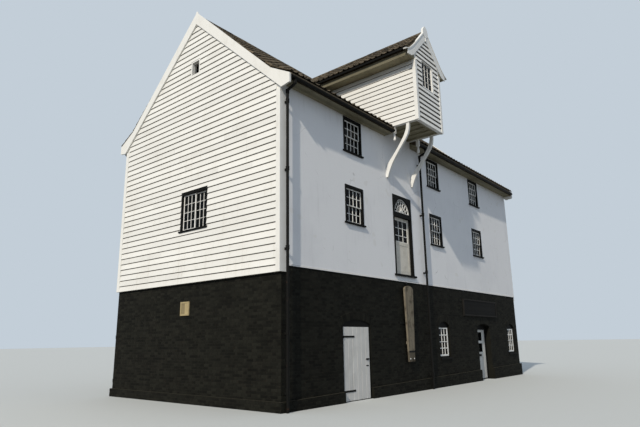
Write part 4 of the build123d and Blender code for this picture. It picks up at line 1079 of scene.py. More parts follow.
@dataclass
class Weatherboards(Assembly):
    """Sawn softwood boards, each lapped over the one below and butted end to end."""

    exposure: float = 0.180
    lip: float = 0.028
    lucam_exposure: float = 0.1672
    lucam_lip: float = 0.0265
    feather: float = 0.003
    longest: float = 3.9
    shortest: float = 1.6
    joint: float = 0.0022
    wander: float = 0.0016
    ease: float = 0.0003
    # The lucam's front stands in shade, so its lap bands reach further down as painted shade.
    front_undarkened: float = 0.80
    corner_cover: float = 0.105
    barge_cover: float = 0.17
    attic_hole: Box = (-0.222, 0.222, 9.798, 10.322)
    gable_hole: Box = (-0.407, 0.831, 4.769, 6.007)
    rear_region: Box = (-7.595, 7.595, 3.400, SOFFIT + 0.01)
    rear_hole_half: float = 0.462
    rear_holes: tuple[Flat, ...] = ((4.900, 6.088), (7.099, 8.249))
    lucam_hole: Box = (-0.402, 0.402, 9.798, 10.802)
    lucam_cover: float = 0.09
    lucam_apex: float = LUCAM_RIDGE - 0.22
    lucam_back: float = 0.75
    lucam_eaves: float = 10.66
    roof_below: float = 0.04

    def lay(
        self, name: str, face: Face, region: Outline, holes: list[Outline], seed: int, lucam: bool = False,
        undarkened: float = 1.0,
    ) -> None:
        """Lays courses over one wall.

        Args:
            name: The piece's name.
            face: The wall.
            region: The convex region to cover.
            holes: Convex outlines left free.
            seed: Seed of the joints and tones.
            lucam: Whether the boards are the lucam's narrower ones.
            undarkened: Below one, the dark band of dirt and painted shade under each lap comes further down.
        """
        exposure, lip = (self.lucam_exposure, self.lucam_lip) if lucam else (self.exposure, self.lip)
        draft, rng = Draft(), random.Random(seed)
        bottom, top = reach(region)[2:]
        for course in range(math.ceil((top - bottom) / exposure)):
            low, high = bottom + course * exposure, bottom + (course + 1) * exposure
            band = clip(clip(region, (0.0, low), (1.0, low)), (1.0, high), (0.0, high))
            if len(band) < 3:
                continue
            start, right = reach(band)[:2]
            while start < right:
                end = start + rng.uniform(self.shortest, self.longest)
                if right - end < self.shortest / 2:
                    end = right + 1.0
                board = between(band, start + self.joint / 2, end - self.joint / 2)
                tone, shift = rng.uniform(-1, 1), rng.uniform(-self.wander, self.wander)
                for part in cut_out_all([board], holes) if len(board) > 2 else []:
                    eased = [(s, t + shift) for s, t in inset(part, self.ease)]
                    draft.patch(face, eased, 0.0, tone, low, low + (high - low) * undarkened)
                start = end
        self.shop.clad(draft, name, Slot.BOARDS, face, lip, self.feather)

    def gabled(self, half: float, bottom: float, apex: float) -> Outline:
        """Lists the five corners of a wall under two main slopes, from half its width and its heights."""
        side = apex - half * MAIN_SLOPE
        return [(-half, bottom), (half, bottom), (half, side), (0.0, apex), (-half, side)]

    def lucam_sides(self) -> None:
        """Covers the lucam's two sides, down to the main roof."""
        knee, height = FRONT + KNEE_IN, KNEE_HEIGHT - self.roof_below
        region = rectangle(LUCAM_FRONT + self.lucam_cover, self.lucam_back, LUCAM_BOTTOM, self.lucam_eaves)
        for slope in (MAIN_SLOPE, KICK_SLOPE):
            region = clip(region, (knee, height), (knee + 1, height + slope))
        mirrored = [(-s, t) for s, t in region][::-1]
        self.lay("lucam_left_boards", LUCAM_LEFT, mirrored, [], 29, lucam=True)
        self.lay("lucam_right_boards", LUCAM_RIGHT, region, [], 31, lucam=True)

    def build(self) -> None:
        """Covers every boarded wall."""
        attic, window = rectangle(*self.attic_hole), rectangle(*self.gable_hole)
        gable = self.gabled(-FRONT - self.corner_cover, BOARDS_BOTTOM, RIDGE_HEIGHT - self.barge_cover)
        self.lay("left_gable_boards", LEFT_GABLE, gable, [attic, window], 11)
        self.lay("right_gable_boards", RIGHT_GABLE, gable, [attic], 12)
        half = self.rear_hole_half
        holes = [rectangle(-x - half, -x + half, *heights) for x in WINDOWS_X for heights in self.rear_holes]
        self.lay("rear_boards", REAR_FACE, rectangle(*self.rear_region), holes, 55)
        self.lucam_sides()
        front = self.gabled(LUCAM_HALF - self.lucam_cover, LUCAM_BOTTOM, self.lucam_apex)
        window = rectangle(*self.lucam_hole)
        self.lay("lucam_front_boards", LUCAM_FACE, front, [window], 41, True, self.front_undarkened)


@dataclass(frozen=True)
class Opening:
    """A doorway or window in the brickwork with a segmental arch."""

    centre: float
    width: float
    bottom: float
    spring: float
    rise: float

    @property
    def radius(self) -> float:
        """Gives the arch's radius."""
        return (self.width**2 / 4 + self.rise**2) / (2 * self.rise)

    @property
    def middle(self) -> Flat:
        """Gives the arch's centre."""
        return (self.centre, self.spring + self.rise - self.radius)

    @property
    def spread(self) -> float:
        """Gives half the arch's angle in degrees."""
        return math.degrees(math.asin(self.width / 2 / self.radius))

    def outline(self, bottom: float, depth: float = 0.0, steps: int = 6) -> Outline:
        """Lists the outline from a height up to the arch.

        Args:
            bottom: The lowest height.
            depth: How far outside the arch's inner edge it ends.
            steps: Number of chords of the head.

        Returns:
            The outline.
        """
        left, right = self.centre - self.width / 2, self.centre + self.width / 2
        head = arc(self.middle, self.radius + depth, 90 - self.spread, 90 + self.spread, steps)
        return [(left, bottom), (right, bottom)] + head

    def mirrored(self) -> "Opening":
        """Gives the same opening seen from the other side."""
        return Opening(-self.centre, self.width, self.bottom, self.spring, self.rise)


@dataclass
class Brickwork(Assembly):
    """Tarred bricks in alternate long and short bond, standing a few millimetres out of their joints."""

    long: float = 0.215
    short: float = 0.1025
    height: float = 0.065
    joint: float = 0.010
    proud: float = 0.0055
    sunk: float = 0.0022
    least: float = 0.0008
    front_share: float = 0.965
    arch_depth: float = 0.215
    arch_gap: float = 0.002
    plinth_out: float = 0.060
    plinth_low: float = 0.24
    plinth_high: float = 0.48
    plinth_gaps: Flat = (0.004, 0.006)
    side_top: float = 3.25
    doors: tuple[Opening, ...] = (
        Opening(-4.691, 1.314, 0.0, 2.030, 0.136),
        Opening(4.045, 1.206, 0.0, 2.060, 0.110),
    )
    windows: tuple[Opening, ...] = tuple(Opening(x, 0.820, 0.830, 2.030, 0.170) for x in GROUND_WINDOWS_X)

    def course(
        self, draft: Draft, face: Face, region: Outline, holes: list[Outline], out: float, rng: random.Random
    ) -> None:
        """Lays bricks over a convex region.

        Args:
            draft: Gets the bricks.
            face: The wall.
            region: The region to cover.
            holes: Outlines left free.
            out: How far the region stands out of the wall.
            rng: Chance of tone and depth.
        """
        period = self.long + self.short + 2 * self.joint
        gauge = self.height + self.joint
        left, right, _, top = reach(region)
        for row in range(int(top / gauge) + 1):
            low = row * gauge + self.joint / 2
            start = math.floor(left / period) * period + (period / 2 if row % 2 else 0.0) - period
            while start < right:
                for length in (self.long, self.short):
                    brick = rectangle(start, start + length, low, low + self.height)
                    start += length + self.joint
                    tone, depth = rng.uniform(-1, 1), rng.uniform(-self.sunk, 0.0)
                    for first, second in zip(region, region[1:] + region[:1]):
                        brick = clip(brick, first, second)
                    if len(brick) < 3 or area(brick) < self.least:
                        continue
                    for part in cut_out_all([brick], holes):
                        draft.patch(face, part, out + depth, tone, low, low + self.height)

    def arch(self, draft: Draft, face: Face, opening: Opening, rng: random.Random) -> None:
        """Sets the bricks of an arch on edge.

        Args:
            draft: Gets the bricks.
            face: The wall.
            opening: The opening under the arch.
            rng: Chance of tone.
        """
        inner, outer = opening.radius + self.arch_gap, opening.radius + self.arch_depth
        span = math.radians(2 * opening.spread) * inner
        count = max(5, round(span / (self.height + self.joint)))
        gap = math.degrees(self.joint / inner) / 2
        for i in range(count):
            start = 90 - opening.spread + 2 * opening.spread * i / count + gap
            end = 90 - opening.spread + 2 * opening.spread * (i + 1) / count - gap
            wedge = arc(opening.middle, inner, end, start, 1) + arc(opening.middle, outer, start, end, 1)
            draft.patch(face, wedge, 0.0, rng.uniform(-1, 1), 0.0, 9.0)

    def wall(
        self, name: str, face: Face, size: Flat, plinths: Flat, openings: tuple[Opening, ...],
        holes: list[Outline], seed: int,
    ) -> None:
        """Lays one wall with its plinth, openings and arches.

        Args:
            name: The piece's name.
            face: The wall.
            size: Half its length, and the height of its brickwork.
            plinths: Plinth height at the low and the high end of the wall.
            openings: Its doorways and windows.
            holes: Other outlines left free.
            seed: Seed of the chances.
        """
        draft, rng = Draft(), random.Random(seed)
        half, top = size
        low, high = plinths
        free = [o.outline(o.bottom) for o in openings] + holes
        rings = [o.outline(o.spring, self.arch_depth + self.joint) for o in openings]
        upper = clip(rectangle(-half, half, 0.0, top), (-half, low), (half, high))
        self.course(draft, face, upper, free + rings, 0.0, rng)
        edge = half + self.plinth_out
        under, over = self.plinth_gaps
        plinth = [(-edge, under), (edge, under), (edge, high - over), (-edge, low - over)]
        self.course(draft, face, plinth, free, self.plinth_out, rng)
        for opening in openings:
            self.arch(draft, face, opening, rng)
        self.shop.clad(draft, name, Slot.BRICK, face, self.proud, self.proud, self.front_share)

    def build(self) -> None:
        """Lays the four walls."""
        low, high = self.plinth_low, self.plinth_high
        long, short = (END, BRICK_TOP), (-FRONT, self.side_top)
        rear = tuple(o.mirrored() for o in self.windows)
        self.wall("front_bricks", FRONT_FACE, long, (low, high), self.doors + self.windows, [], 61)
        self.wall("rear_bricks", REAR_FACE, long, (high, low), rear, [], 62)
        self.wall("left_bricks", LEFT_BRICK, short, (low, low), (), [rectangle(*HATCH_BOX)], 63)
        self.wall("right_bricks", RIGHT_BRICK, short, (high, high), (), [], 64)


@dataclass
class Pantiles(Assembly):
    """Hand-made S-shaped tiles in courses, a steeper main slope over a flatter sprocketed foot."""

    width: float = 0.2309
    lap: float = 0.065
    thick: float = 0.013
    lift: float = 0.030
    seat: float = 0.003
    slip: float = 0.004
    play: float = 0.008
    tone_spread: float = 0.45
    crease: float = 55.0
    columns_half: int = 34
    rows_low: int = 3
    rows_high: int = 18
    eaves_out: float = 0.395
    top_gap: float = 0.02
    lucam_knee: float = 1.055
    lucam_kick: float = 0.275
    lucam_rows: tuple[int, int] = (1, 6)
    under_lucam: float = 0.06
    under_lucam_tiles: float = 0.12
    into_main: float = 0.10
    lucam_last_y: float = 0.1
    lucam_ends: Flat = (0.16, 4.96)
    section: tuple[Flat, ...] = (
        (0.0, 0.010), (0.08, 0.033), (0.17, 0.043), (0.26, 0.034), (0.36, 0.014),
        (0.52, 0.002), (0.70, 0.000), (0.88, 0.004), (1.03, 0.010),
    )

    def tile(self) -> Draft:
        """Draws one tile, one metre long, so that its spot gives its length.

        Returns:
            The tile.
        """
        draft = Draft()
        rings = []
        for along, rise in ((0.0, self.lift), (1.0, 0.0)):
            above = [Vector((u * self.width, along, z + rise + self.thick)) for u, z in self.section]
            below = [Vector((u * self.width, along, z + rise)) for u, z in self.section]
            rings.append(above + below[::-1])
        draft.loft(rings)
        return draft

    def rows(
        self, foot: Flat, knee: Flat, ridge: Flat, counts: tuple[int, int]
    ) -> list[tuple[Flat, float, float]]:
        """Lists the courses up a slope.

        Args:
            foot: Out and height of the tile plane at the eaves.
            knee: The same where the slope bends.
            ridge: The same at the ridge.
            counts: Courses below and above the bend.

        Returns:
            For each course its lower point, its gauge and its pitch.
        """
        result = []
        for (a, b), count in zip(((foot, knee), (knee, ridge)), counts):
            length = math.hypot(b[0] - a[0], b[1] - a[1])
            pitch = math.atan2(b[1] - a[1], a[0] - b[0])
            for i in range(count):
                share = i / count
                point = (a[0] + (b[0] - a[0]) * share, a[1] + (b[1] - a[1]) * share)
                result.append((point, length / count, pitch))
        return result

    def clear_of_lucam(self, point: Vector) -> bool:
        """Says whether a main tile is outside the lucam.

        Args:
            point: The middle of the tile.

        Returns:
            Whether it is laid.
        """
        aside = abs(point.x - LUCAM_X)
        covered = LUCAM_RIDGE - aside * MAIN_SLOPE - self.under_lucam_tiles
        return aside >= LUCAM_HALF - self.under_lucam or point.z >= covered

    def above_main(self, point: Vector) -> bool:
        """Says whether a lucam tile stands clear of the main slope.

        Args:
            point: The middle of the tile.

        Returns:
            Whether it is laid.
        """
        inward = -FRONT - abs(point.y) - KNEE_IN
        height = KNEE_HEIGHT + inward * (MAIN_SLOPE if inward > 0 else KICK_SLOPE)
        return point.z > height - self.into_main and point.y < self.lucam_last_y

    def slope(
        self, name: str, rows: list[tuple[Flat, float, float]], span: Flat, heading: float, seed: int,
        keep: Callable[[Vector], bool] | None = None, middle_x: float = 0.0,
    ) -> None:
        """Covers one slope.

        Args:
            name: The piece's name.
            rows: The courses.
            span: First and last place along the slope.
            heading: Turn of the slope about the upright axis in radians.
            seed: Seed of the chances.
            keep: Says for the middle of a tile whether it is laid; without it, all are.
            middle_x: Where the ridge line's middle is.
        """
        rng = random.Random(seed)
        turn = Matrix.Rotation(heading, 3, "Z")
        shift = Vector((middle_x, 0, 0))
        count = round((span[1] - span[0]) / self.width)
        if abs(span[0]) < abs(span[1]):
            span = (span[1] - count * self.width, span[1])
        spots = []
        for (out, height), gauge, pitch in rows:
            rise, fall = math.sin(pitch), math.cos(pitch)
            for column in range(count):
                near = Vector((span[0] + column * self.width, -out, height))
                middle = near + Vector((self.width / 2, gauge / 2 * fall, gauge / 2 * rise))
                tone = max(-1, min(1, rng.gauss(0, self.tone_spread)))
                if keep and not keep(turn @ middle + shift):
                    continue
                slip = Vector((0, 1, 0)) * rng.uniform(-self.slip, self.slip)
                place = turn @ (near + Vector((0, -rise, fall)) * self.seat + slip) + shift
                spots.append(Spot(place, (pitch, 0.0, heading), (1.0, gauge + self.lap, 1.0), tone))
        self.shop.scatter(self.tile(), spots, name, Slot.TILE, play=self.play, seed=seed, crease=self.crease)

    def build(self) -> None:
        """Tiles the four slopes."""
        foot = (-FRONT + self.eaves_out, KNEE_HEIGHT - (KNEE_IN + self.eaves_out) * KICK_SLOPE)
        top = (self.top_gap, RIDGE_HEIGHT - self.top_gap)
        rows = self.rows(foot, (-FRONT - KNEE_IN, KNEE_HEIGHT), top, (self.rows_low, self.rows_high))
        half = self.width * self.columns_half
        self.slope("front_pantiles", rows, (-half, half), 0.0, 71, self.clear_of_lucam)
        self.slope("rear_pantiles", rows, (-half, half), math.pi, 72)
        knee = (self.lucam_knee, LUCAM_RIDGE - self.lucam_knee * MAIN_SLOPE)
        foot = (self.lucam_knee + self.lucam_kick, knee[1] - self.lucam_kick * KICK_SLOPE)
        rows = self.rows(foot, knee, (self.top_gap, LUCAM_RIDGE - self.top_gap), self.lucam_rows)
        back, front = self.lucam_ends
        for name, span, heading, seed in (
            ("lucam_left_pantiles", (-back, front), -math.pi / 2, 73),
            ("lucam_right_pantiles", (-front, back), math.pi / 2, 74),
        ):
            self.slope(name, rows, span, heading, seed, self.above_main, LUCAM_X)


@dataclass
class RidgeTiles(Assembly):
    """Half-round clay ridge tiles, butted and bedded in mortar."""

    length: float = 0.445
    joint: float = 0.008
    thick: float = 0.016
    steps: int = 9
    wander: float = 0.004
    play: float = 0.006
    crease: float = 50.0
    bed_share: float = 0.86
    bed_height: float = 0.07
    bed_shoulder: float = 0.8
    bed_crown: float = 0.55
    height: float = 11.806
    radius: float = 0.128
    end: float = 7.80
    lucam_gap: float = 0.330
    lucam_height: float = 11.955
    lucam_radius: float = 0.113
    lucam_ends: Flat = (-4.96, 0.16)

    def tile(self, radius: float) -> Draft:
        """Draws one ridge tile, a metre long.

        Args:
            radius: Its outer radius.

        Returns:
            The tile.
        """
        draft = Draft()
        outer = arc((0, 0), radius, 0, 180, self.steps)
        inner = arc((0, 0), radius - self.thick, 180, 0, self.steps)
        draft.loft([[Vector((x, s, t)) for s, t in outer + inner] for x in (-0.5, 0.5)])
        return draft

    def bedding(self, start: Vector, end: Vector, half: float) -> Draft:
        """Draws the mortar under a run.

        Args:
            start: First end of the ridge line.
            end: Last end.
            half: Half the bed's width.

        Returns:
            The bed.
        """
        draft = Draft()
        across = (end - start).normalized().cross(UP)
        high, shoulder = self.bed_height, half * self.bed_shoulder
        crown = high * self.bed_crown
        shape = [(half, -high), (shoulder, 0.0), (0.0, crown), (-shoulder, 0.0), (-half, -high)]
        draft.loft([[p - across * s + UP * t for s, t in shape[::-1]] for p in (start, end)])
        return draft

    def run(self, name: str, start: Vector, end: Vector, radius: float, node: str, seed: int) -> None:
        """Lays tiles between two points.

        Args:
            name: The piece's name.
            start: First end of the ridge line.
            end: Last end.
            radius: Outer radius of the tiles.
            node: The CAD node that the run stands for.
            seed: Seed of the chances.
        """
        rng = random.Random(seed)
        way = end - start
        count = max(1, round(way.length / (self.length + self.joint)))
        turn, size = (0.0, 0.0, math.atan2(way.y, way.x)), (way.length / count - self.joint, 1.0, 1.0)
        spots = []
        for i in range(count):
            place = start + way * ((i + 0.5) / count) + UP * rng.uniform(-self.wander, self.wander)
            spots.append(Spot(place, turn, size, rng.uniform(-1, 1)))
        self.shop.scatter(
            self.tile(radius), spots, name, Slot.TILE,
            instead_of=(node,), play=self.play, seed=seed, crease=self.crease,
        )
        bed = self.bedding(start, end, radius * self.bed_share)
        self.shop.plain(bed, name + "_bedding", Slot.FLOOR_STONE)

    def build(self) -> None:
        """Lays the three runs, the main one broken by the lucam's ridge."""
        for name, left, right, seed in (
            ("left_ridge", -self.end, LUCAM_X - self.lucam_gap, 81),
            ("right_ridge", LUCAM_X + self.lucam_gap, self.end, 82),
        ):
            ends = (Vector((x, 0, self.height)) for x in (left, right))
            self.run(name, *ends, self.radius, "ridge_tiles", seed)
        ends = (Vector((LUCAM_X, y, self.lucam_height)) for y in self.lucam_ends)
        self.run("lucam_ridge", *ends, self.lucam_radius, "lucam_ridge_tiles", 83)


@dataclass
class Sashes(Assembly):
    """Softwood sashes in white oil paint, with thin glazing bars and old glass."""

    stile: float = 0.038
    thick: float = 0.030
    bar: float = 0.029
    bar_deep: float = 0.026
    bar_back: float = 0.002
    bar_step: float = 0.001
    glass: float = 0.004
    chamfer: float = 0.004
    bottom_rail: float = 0.058
    meeting_rail: float = 0.026
    rows: tuple[Flat, ...] = ((4.952, 5.996), (7.151, 8.157))
    half: float = 0.398
    upper_front: float = -0.038
    lower_front: float = -0.069
    ground_half: float = 0.350
    ground_stiles: Flat = (0.048, 0.064)
    ground_bar: float = 0.036
    # Heights, front, and bottom and top rail of the upper and of the lower sash.
    ground_sashes: tuple[tuple[Flat, float, Flat], ...] = (
        ((1.488, 1.990), -0.056, (0.026, 0.042)),
        ((1.010, 1.512), -0.058, (0.062, 0.022)),
    )
    gable_bar: float = 0.023
    gable_rails: Flat = (0.046, 0.034)
    gable_stiles: Flat = (0.036, 0.038)
    gable_places: tuple[Box, ...] = ((-0.343, 0.238, 4.821, 5.915), (0.186, 0.767, 4.821, 5.915))
    gable_fronts: Flat = (-0.038, -0.070)

    def __post_init__(self) -> None:
        """Starts the drafts that all the sashes share."""
        self.wood = Draft()
        self.panes = Draft()
        self.bars: list[Spot] = []

    def add_bar(self, face: Face, start: Flat, end: Flat, out: float, width: float, deep: float) -> None:
        """Adds a glazing bar between two points.

        Args:
            face: The wall.
            start: Its first end.
            end: Its other end.
            out: Place of its front.
            width: Its width.
            deep: Its depth.
        """
        middle = face.place((start[0] + end[0]) / 2, (start[1] + end[1]) / 2, out - deep / 2)
        across, rise = end[0] - start[0], end[1] - start[1]
        turn = (0.0, math.atan2(across, rise), math.atan2(face.along.y, face.along.x))
        self.bars.append(Spot(middle, turn, (width, deep, math.hypot(across, rise))))

    def light(
        self, face: Face, box: Box, front: float, grid: tuple[int, int], rails: Flat, stiles: Flat,
        bar: float = 0.0,
    ) -> None:
        """Adds one glazed frame.

        Args:
            face: The wall.
            box: Left, right, bottom and top.
            front: Place of its front, out of the wall.
            grid: Columns and rows of panes.
            rails: Height of the bottom and top rail.
            stiles: Width of the left and right stile.
            bar: Width of the glazing bars, or nothing for the usual width.
        """
        back, bar = front - self.thick, bar or self.bar
        low, high = box[0] + stiles[0], box[1] - stiles[1]
        under, over = box[2] + rails[0], box[3] - rails[1]
        self.wood.surround(face, box, (low, high, under, over), back, front, self.chamfer)
        pane = (front + back) / 2
        hole = rectangle(low, high, under, over)
        self.panes.slab(face, hole, pane - self.glass / 2, pane + self.glass / 2)
        columns, rows = grid
        out = front - self.bar_back
        for i in range(1, columns):
            s = low + (high - low) * i / columns
            self.add_bar(face, (s, under), (s, over), out, bar, self.bar_deep)
        for i in range(1, rows):
            t = under + (over - under) * i / rows
            self.add_bar(face, (low, t), (high, t), out - self.bar_step, bar, self.bar_deep)

    def double_hung(self, face: Face, middle: float, bottom: float, top: float) -> None:
        """Adds a pair of sliding sashes, the lower one behind.

        Args:
            face: The wall.
            middle: Place along the wall.
            bottom: Lowest height.
            top: Highest height.
        """
        meet, overlap = (bottom + top) / 2, self.meeting_rail / 2
        left, right = middle - self.half, middle + self.half
        stiles = (self.stile, self.stile)
        upper, lower = (left, right, meet - overlap, top), (left, right, bottom, meet + overlap)
        self.light(face, upper, self.upper_front, (4, 2), (self.meeting_rail, self.stile), stiles)
        self.light(face, lower, self.lower_front, (4, 2), (self.bottom_rail, self.meeting_rail), stiles)

    def ground_window(self, face: Face, middle: float) -> None:
        """Adds the pair of sashes of a window in the brickwork.

        Args:
            face: The wall.
            middle: Place along the wall.
        """
        ends = (middle - self.ground_half, middle + self.ground_half)
        for heights, front, rails in self.ground_sashes:
            self.light(face, (*ends, *heights), front, (3, 2), rails, self.ground_stiles, self.ground_bar)

    def bar_pattern(self) -> Draft:
        """Draws a glazing bar of unit size with a moulded front.

        Returns:
            The bar.
        """
        draft = Draft()
        shape = [(-0.5, 0.5), (-0.5, -0.05), (-0.2, -0.5), (0.2, -0.5), (0.5, -0.05), (0.5, 0.5)]
        draft.loft([[Vector((x, y, z)) for x, y in shape] for z in (-0.5, 0.5)])
        return draft

    def hand_in_bars(self, name: str) -> None:
        """Makes all the glazing bars as one piece of that name."""
        self.shop.scatter(self.bar_pattern(), self.bars, name, Slot.WHITE)

    def build(self) -> None:
        """Makes the sashes of all the walls."""
        for face, sign in ((FRONT_FACE, 1), (REAR_FACE, -1)):
            for x in WINDOWS_X:
                for bottom, top in self.rows:
                    self.double_hung(face, sign * x, bottom, top)
            for x in GROUND_WINDOWS_X:
                self.ground_window(face, sign * x)
        for box, front in zip(self.gable_places, self.gable_fronts):
            self.light(LEFT_GABLE, box, front, (3, 4), self.gable_rails, self.gable_stiles, self.gable_bar)
        self.shop.plain(self.wood, "sash_joinery", Slot.WHITE, instead_of=("window_sashes",))
        self.hand_in_bars("glazing_bars")
        self.shop.plain(self.panes, "window_panes", Slot.GLASS, instead_of=("window_glass",))


@dataclass
class LucamWindow(Sashes):
    """The small window in the lucam's front: a broad white frame round twelve panes."""

    bar: float = 0.021
    box: Box = (-0.400, 0.400, 9.800, 10.800)
    frame_sides: Box = (0.026, 0.088, 0.050, 0.028)
    back: float = -0.036
    proud: float = 0.012
    sash_front: float = -0.020
    rails: Flat = (0.030, 0.022)
    stiles: Flat = (0.020, 0.022)

    def build(self) -> None:
        """Makes the window."""
        left, right, bottom, top = self.box
        west, east, under, over = self.frame_sides
        inner = (left + west, right - east, bottom + under, top - over)
        self.wood.surround(LUCAM_FACE, self.box, inner, self.back, self.proud, self.chamfer)
        self.light(LUCAM_FACE, inner, self.sash_front, (3, 4), self.rails, self.stiles)
        self.shop.plain(self.wood, "lucam_window_joinery", Slot.WHITE, instead_of=("lucam_window",))
        self.hand_in_bars("lucam_glazing_bars")
        self.shop.plain(self.panes, "lucam_window_panes", Slot.GLASS, instead_of=("lucam_glass",))


@dataclass
class LoadingDoor(Sashes):
    """The half-glazed loading door with its half-round fanlight."""

    centre: float = -1.885
    leaf_half: float = 0.511
    leaf_bottom: float = 3.658
    leaf_top: float = 5.590
    front: float = -0.085
    back: float = -0.135
    stile_wide: float = 0.095
    kick_rail: float = 0.17
    middle_rail: float = 0.115
    board_gap: float = 0.001
    board_tones: Triple = (-0.3, 0.3, 0.0)
    board_sunk: Flat = (0.008, 0.007)
    board_chamfer: float = 0.002
    glazing: Flat = (4.760, 5.495)
    glazing_split: float = 0.21
    glazing_rails: Flat = (0.018, 0.012)
    glazing_sunk: float = 0.004
    bead: Flat = (0.016, 0.016)
    fan_middle: float = 5.740
    fan_radius: float = 0.486
    fan_bars: int = 7
    fan_front: float = -0.022
    fan_deep: float = 0.028
    fan_sill: float = 0.034
    fan_play: float = 0.002
    # Radii, how far back and front are sunk, and chords of each ring.
    fan_rings: tuple[tuple[Flat, Flat, int], ...] = (
        ((0.458, 0.485), (0.0, 0.0), 24),
        ((0.272, 0.288), (0.002, 0.003), 16),
        ((0.074, 0.102), (0.002, 0.002), 10),
    )
    fan_chamfer: float = 0.003
    fan_bar: Flat = (0.015, 0.022)
    fan_bar_ends: Flat = (0.1, 0.456)
    fan_pane: Flat = (0.006, 0.001)
    fan_pane_steps: int = 24
    lobe_reach: float = 0.370
    lobe_radii: Flat = (0.052, 0.061)
    lobe_sunk: Flat = (0.002, 0.004)
    lobe_turn: float = 95.0
    lobe_steps: int = 8

    def leaf(self) -> Draft:
        """Draws the leaf with its sunk lower panel.

        Returns:
            The leaf.
        """
        draft = Draft()
        left, right = self.centre - self.leaf_half, self.centre + self.leaf_half
        inner_left, inner_right = left + self.stile_wide, right - self.stile_wide
        low, high = self.glazing
        bottom, top = self.leaf_bottom, self.leaf_top
        panel = (bottom + self.kick_rail, low - self.middle_rail)
        for part in (
            (left, inner_left, bottom, top),
            (inner_right, right, bottom, top),
            (inner_left, inner_right, high, top),
            (inner_left, inner_right, panel[1], low),
            (inner_left, inner_right, bottom, panel[0]),
        ):
            draft.slab(FRONT_FACE, rectangle(*part), self.back, self.front, self.chamfer)
        levels = (self.back + self.board_sunk[0], self.front - self.board_sunk[1])
        width = (inner_right - inner_left) / len(self.board_tones)
        for i, tone in enumerate(self.board_tones):
            start = inner_left + i * width + self.board_gap
            end = inner_left + (i + 1) * width - self.board_gap
            draft.slab(FRONT_FACE, rectangle(start, end, *panel), *levels, self.board_chamfer, tone)
        return draft

    def fanlight(self) -> Draft:
        """Draws the fanlight's rings, lobes and sill, and adds its bars and pane.

        Returns:
            The white joinery.
        """
        draft = Draft()
        middle, radius, front = (self.centre, self.fan_middle), self.fan_radius, self.fan_front
        back = front - self.fan_deep
        for radii, (behind, sunk), steps in self.fan_rings:
            draft.bend(FRONT_FACE, middle, radii, (back + behind, front - sunk), (0, 180), steps)
        half = radius - self.fan_play
        heights = (self.fan_middle, self.fan_middle + self.fan_sill)
        sill = rectangle(self.centre - half, self.centre + half, *heights)
        draft.slab(FRONT_FACE, sill, back, front, self.fan_chamfer)
        lobes, (behind, sunk) = self.fan_bars + 1, self.lobe_sunk
        levels = (back + behind, front - sunk)
        for i in range(lobes):
            turn = 180 * (i + 0.5) / lobes
            centre = arc(middle, self.lobe_reach, turn, turn, 1)[0]
            sweep = (turn - self.lobe_turn, turn + self.lobe_turn)
            draft.bend(FRONT_FACE, centre, self.lobe_radii, levels, sweep, self.lobe_steps)
        for i in range(1, self.fan_bars + 1):
            turn = 180 * i / lobes
            start, end = (arc(middle, r, turn, turn, 1)[0] for r in self.fan_bar_ends)
            self.add_bar(FRONT_FACE, start, end, front - sunk, *self.fan_bar)
        pane = arc(middle, radius, 0, 180, self.fan_pane_steps)
        self.panes.slab(FRONT_FACE, pane, *(back - level for level in self.fan_pane))
        return draft

    def build(self) -> None:
        """Makes the door and its fanlight."""
        half = self.leaf_half - self.stile_wide
        left, right = self.centre - half, self.centre + half
        low, high = self.glazing
        split, front, rails = low + self.glazing_split, self.front - self.glazing_sunk, self.glazing_rails
        self.light(FRONT_FACE, (left, right, split, high), front, (3, 2), rails[::-1], self.bead)
        self.light(FRONT_FACE, (left, right, low, split), front, (3, 1), rails, self.bead)
        fan = self.fanlight()
        self.shop.plain(self.leaf(), "loading_door_leaf", Slot.GREIGE, instead_of=("loading_door",))
        self.shop.plain(self.wood, "loading_door_beads", Slot.WHITE)
        self.shop.plain(fan, "fanlight_joinery", Slot.WHITE)
        self.hand_in_bars("loading_door_bars")
        self.shop.plain(self.panes, "loading_door_panes", Slot.GLASS, instead_of=("loading_door_glass",))


def bolt_head(radius: float, height: float, sides: int = 10) -> Draft:
    """Draws a domed bolt head whose base is at the origin and whose top points to minus y.

    Args:
        radius: Its radius.
        height: Its height.
        sides: Corners round it.

    Returns:
        The head.
    """
    draft = Draft()
    angles = [2 * math.pi * i / sides for i in reversed(range(sides))]
    rings = [
        [Vector((radius * share * math.cos(a), -height * up, radius * share * math.sin(a))) for a in angles]
        for share, up in ((1.0, 0.0), (1.0, 0.35), (0.78, 0.75), (0.35, 1.0))
    ]
    draft.loft(rings)
    return draft


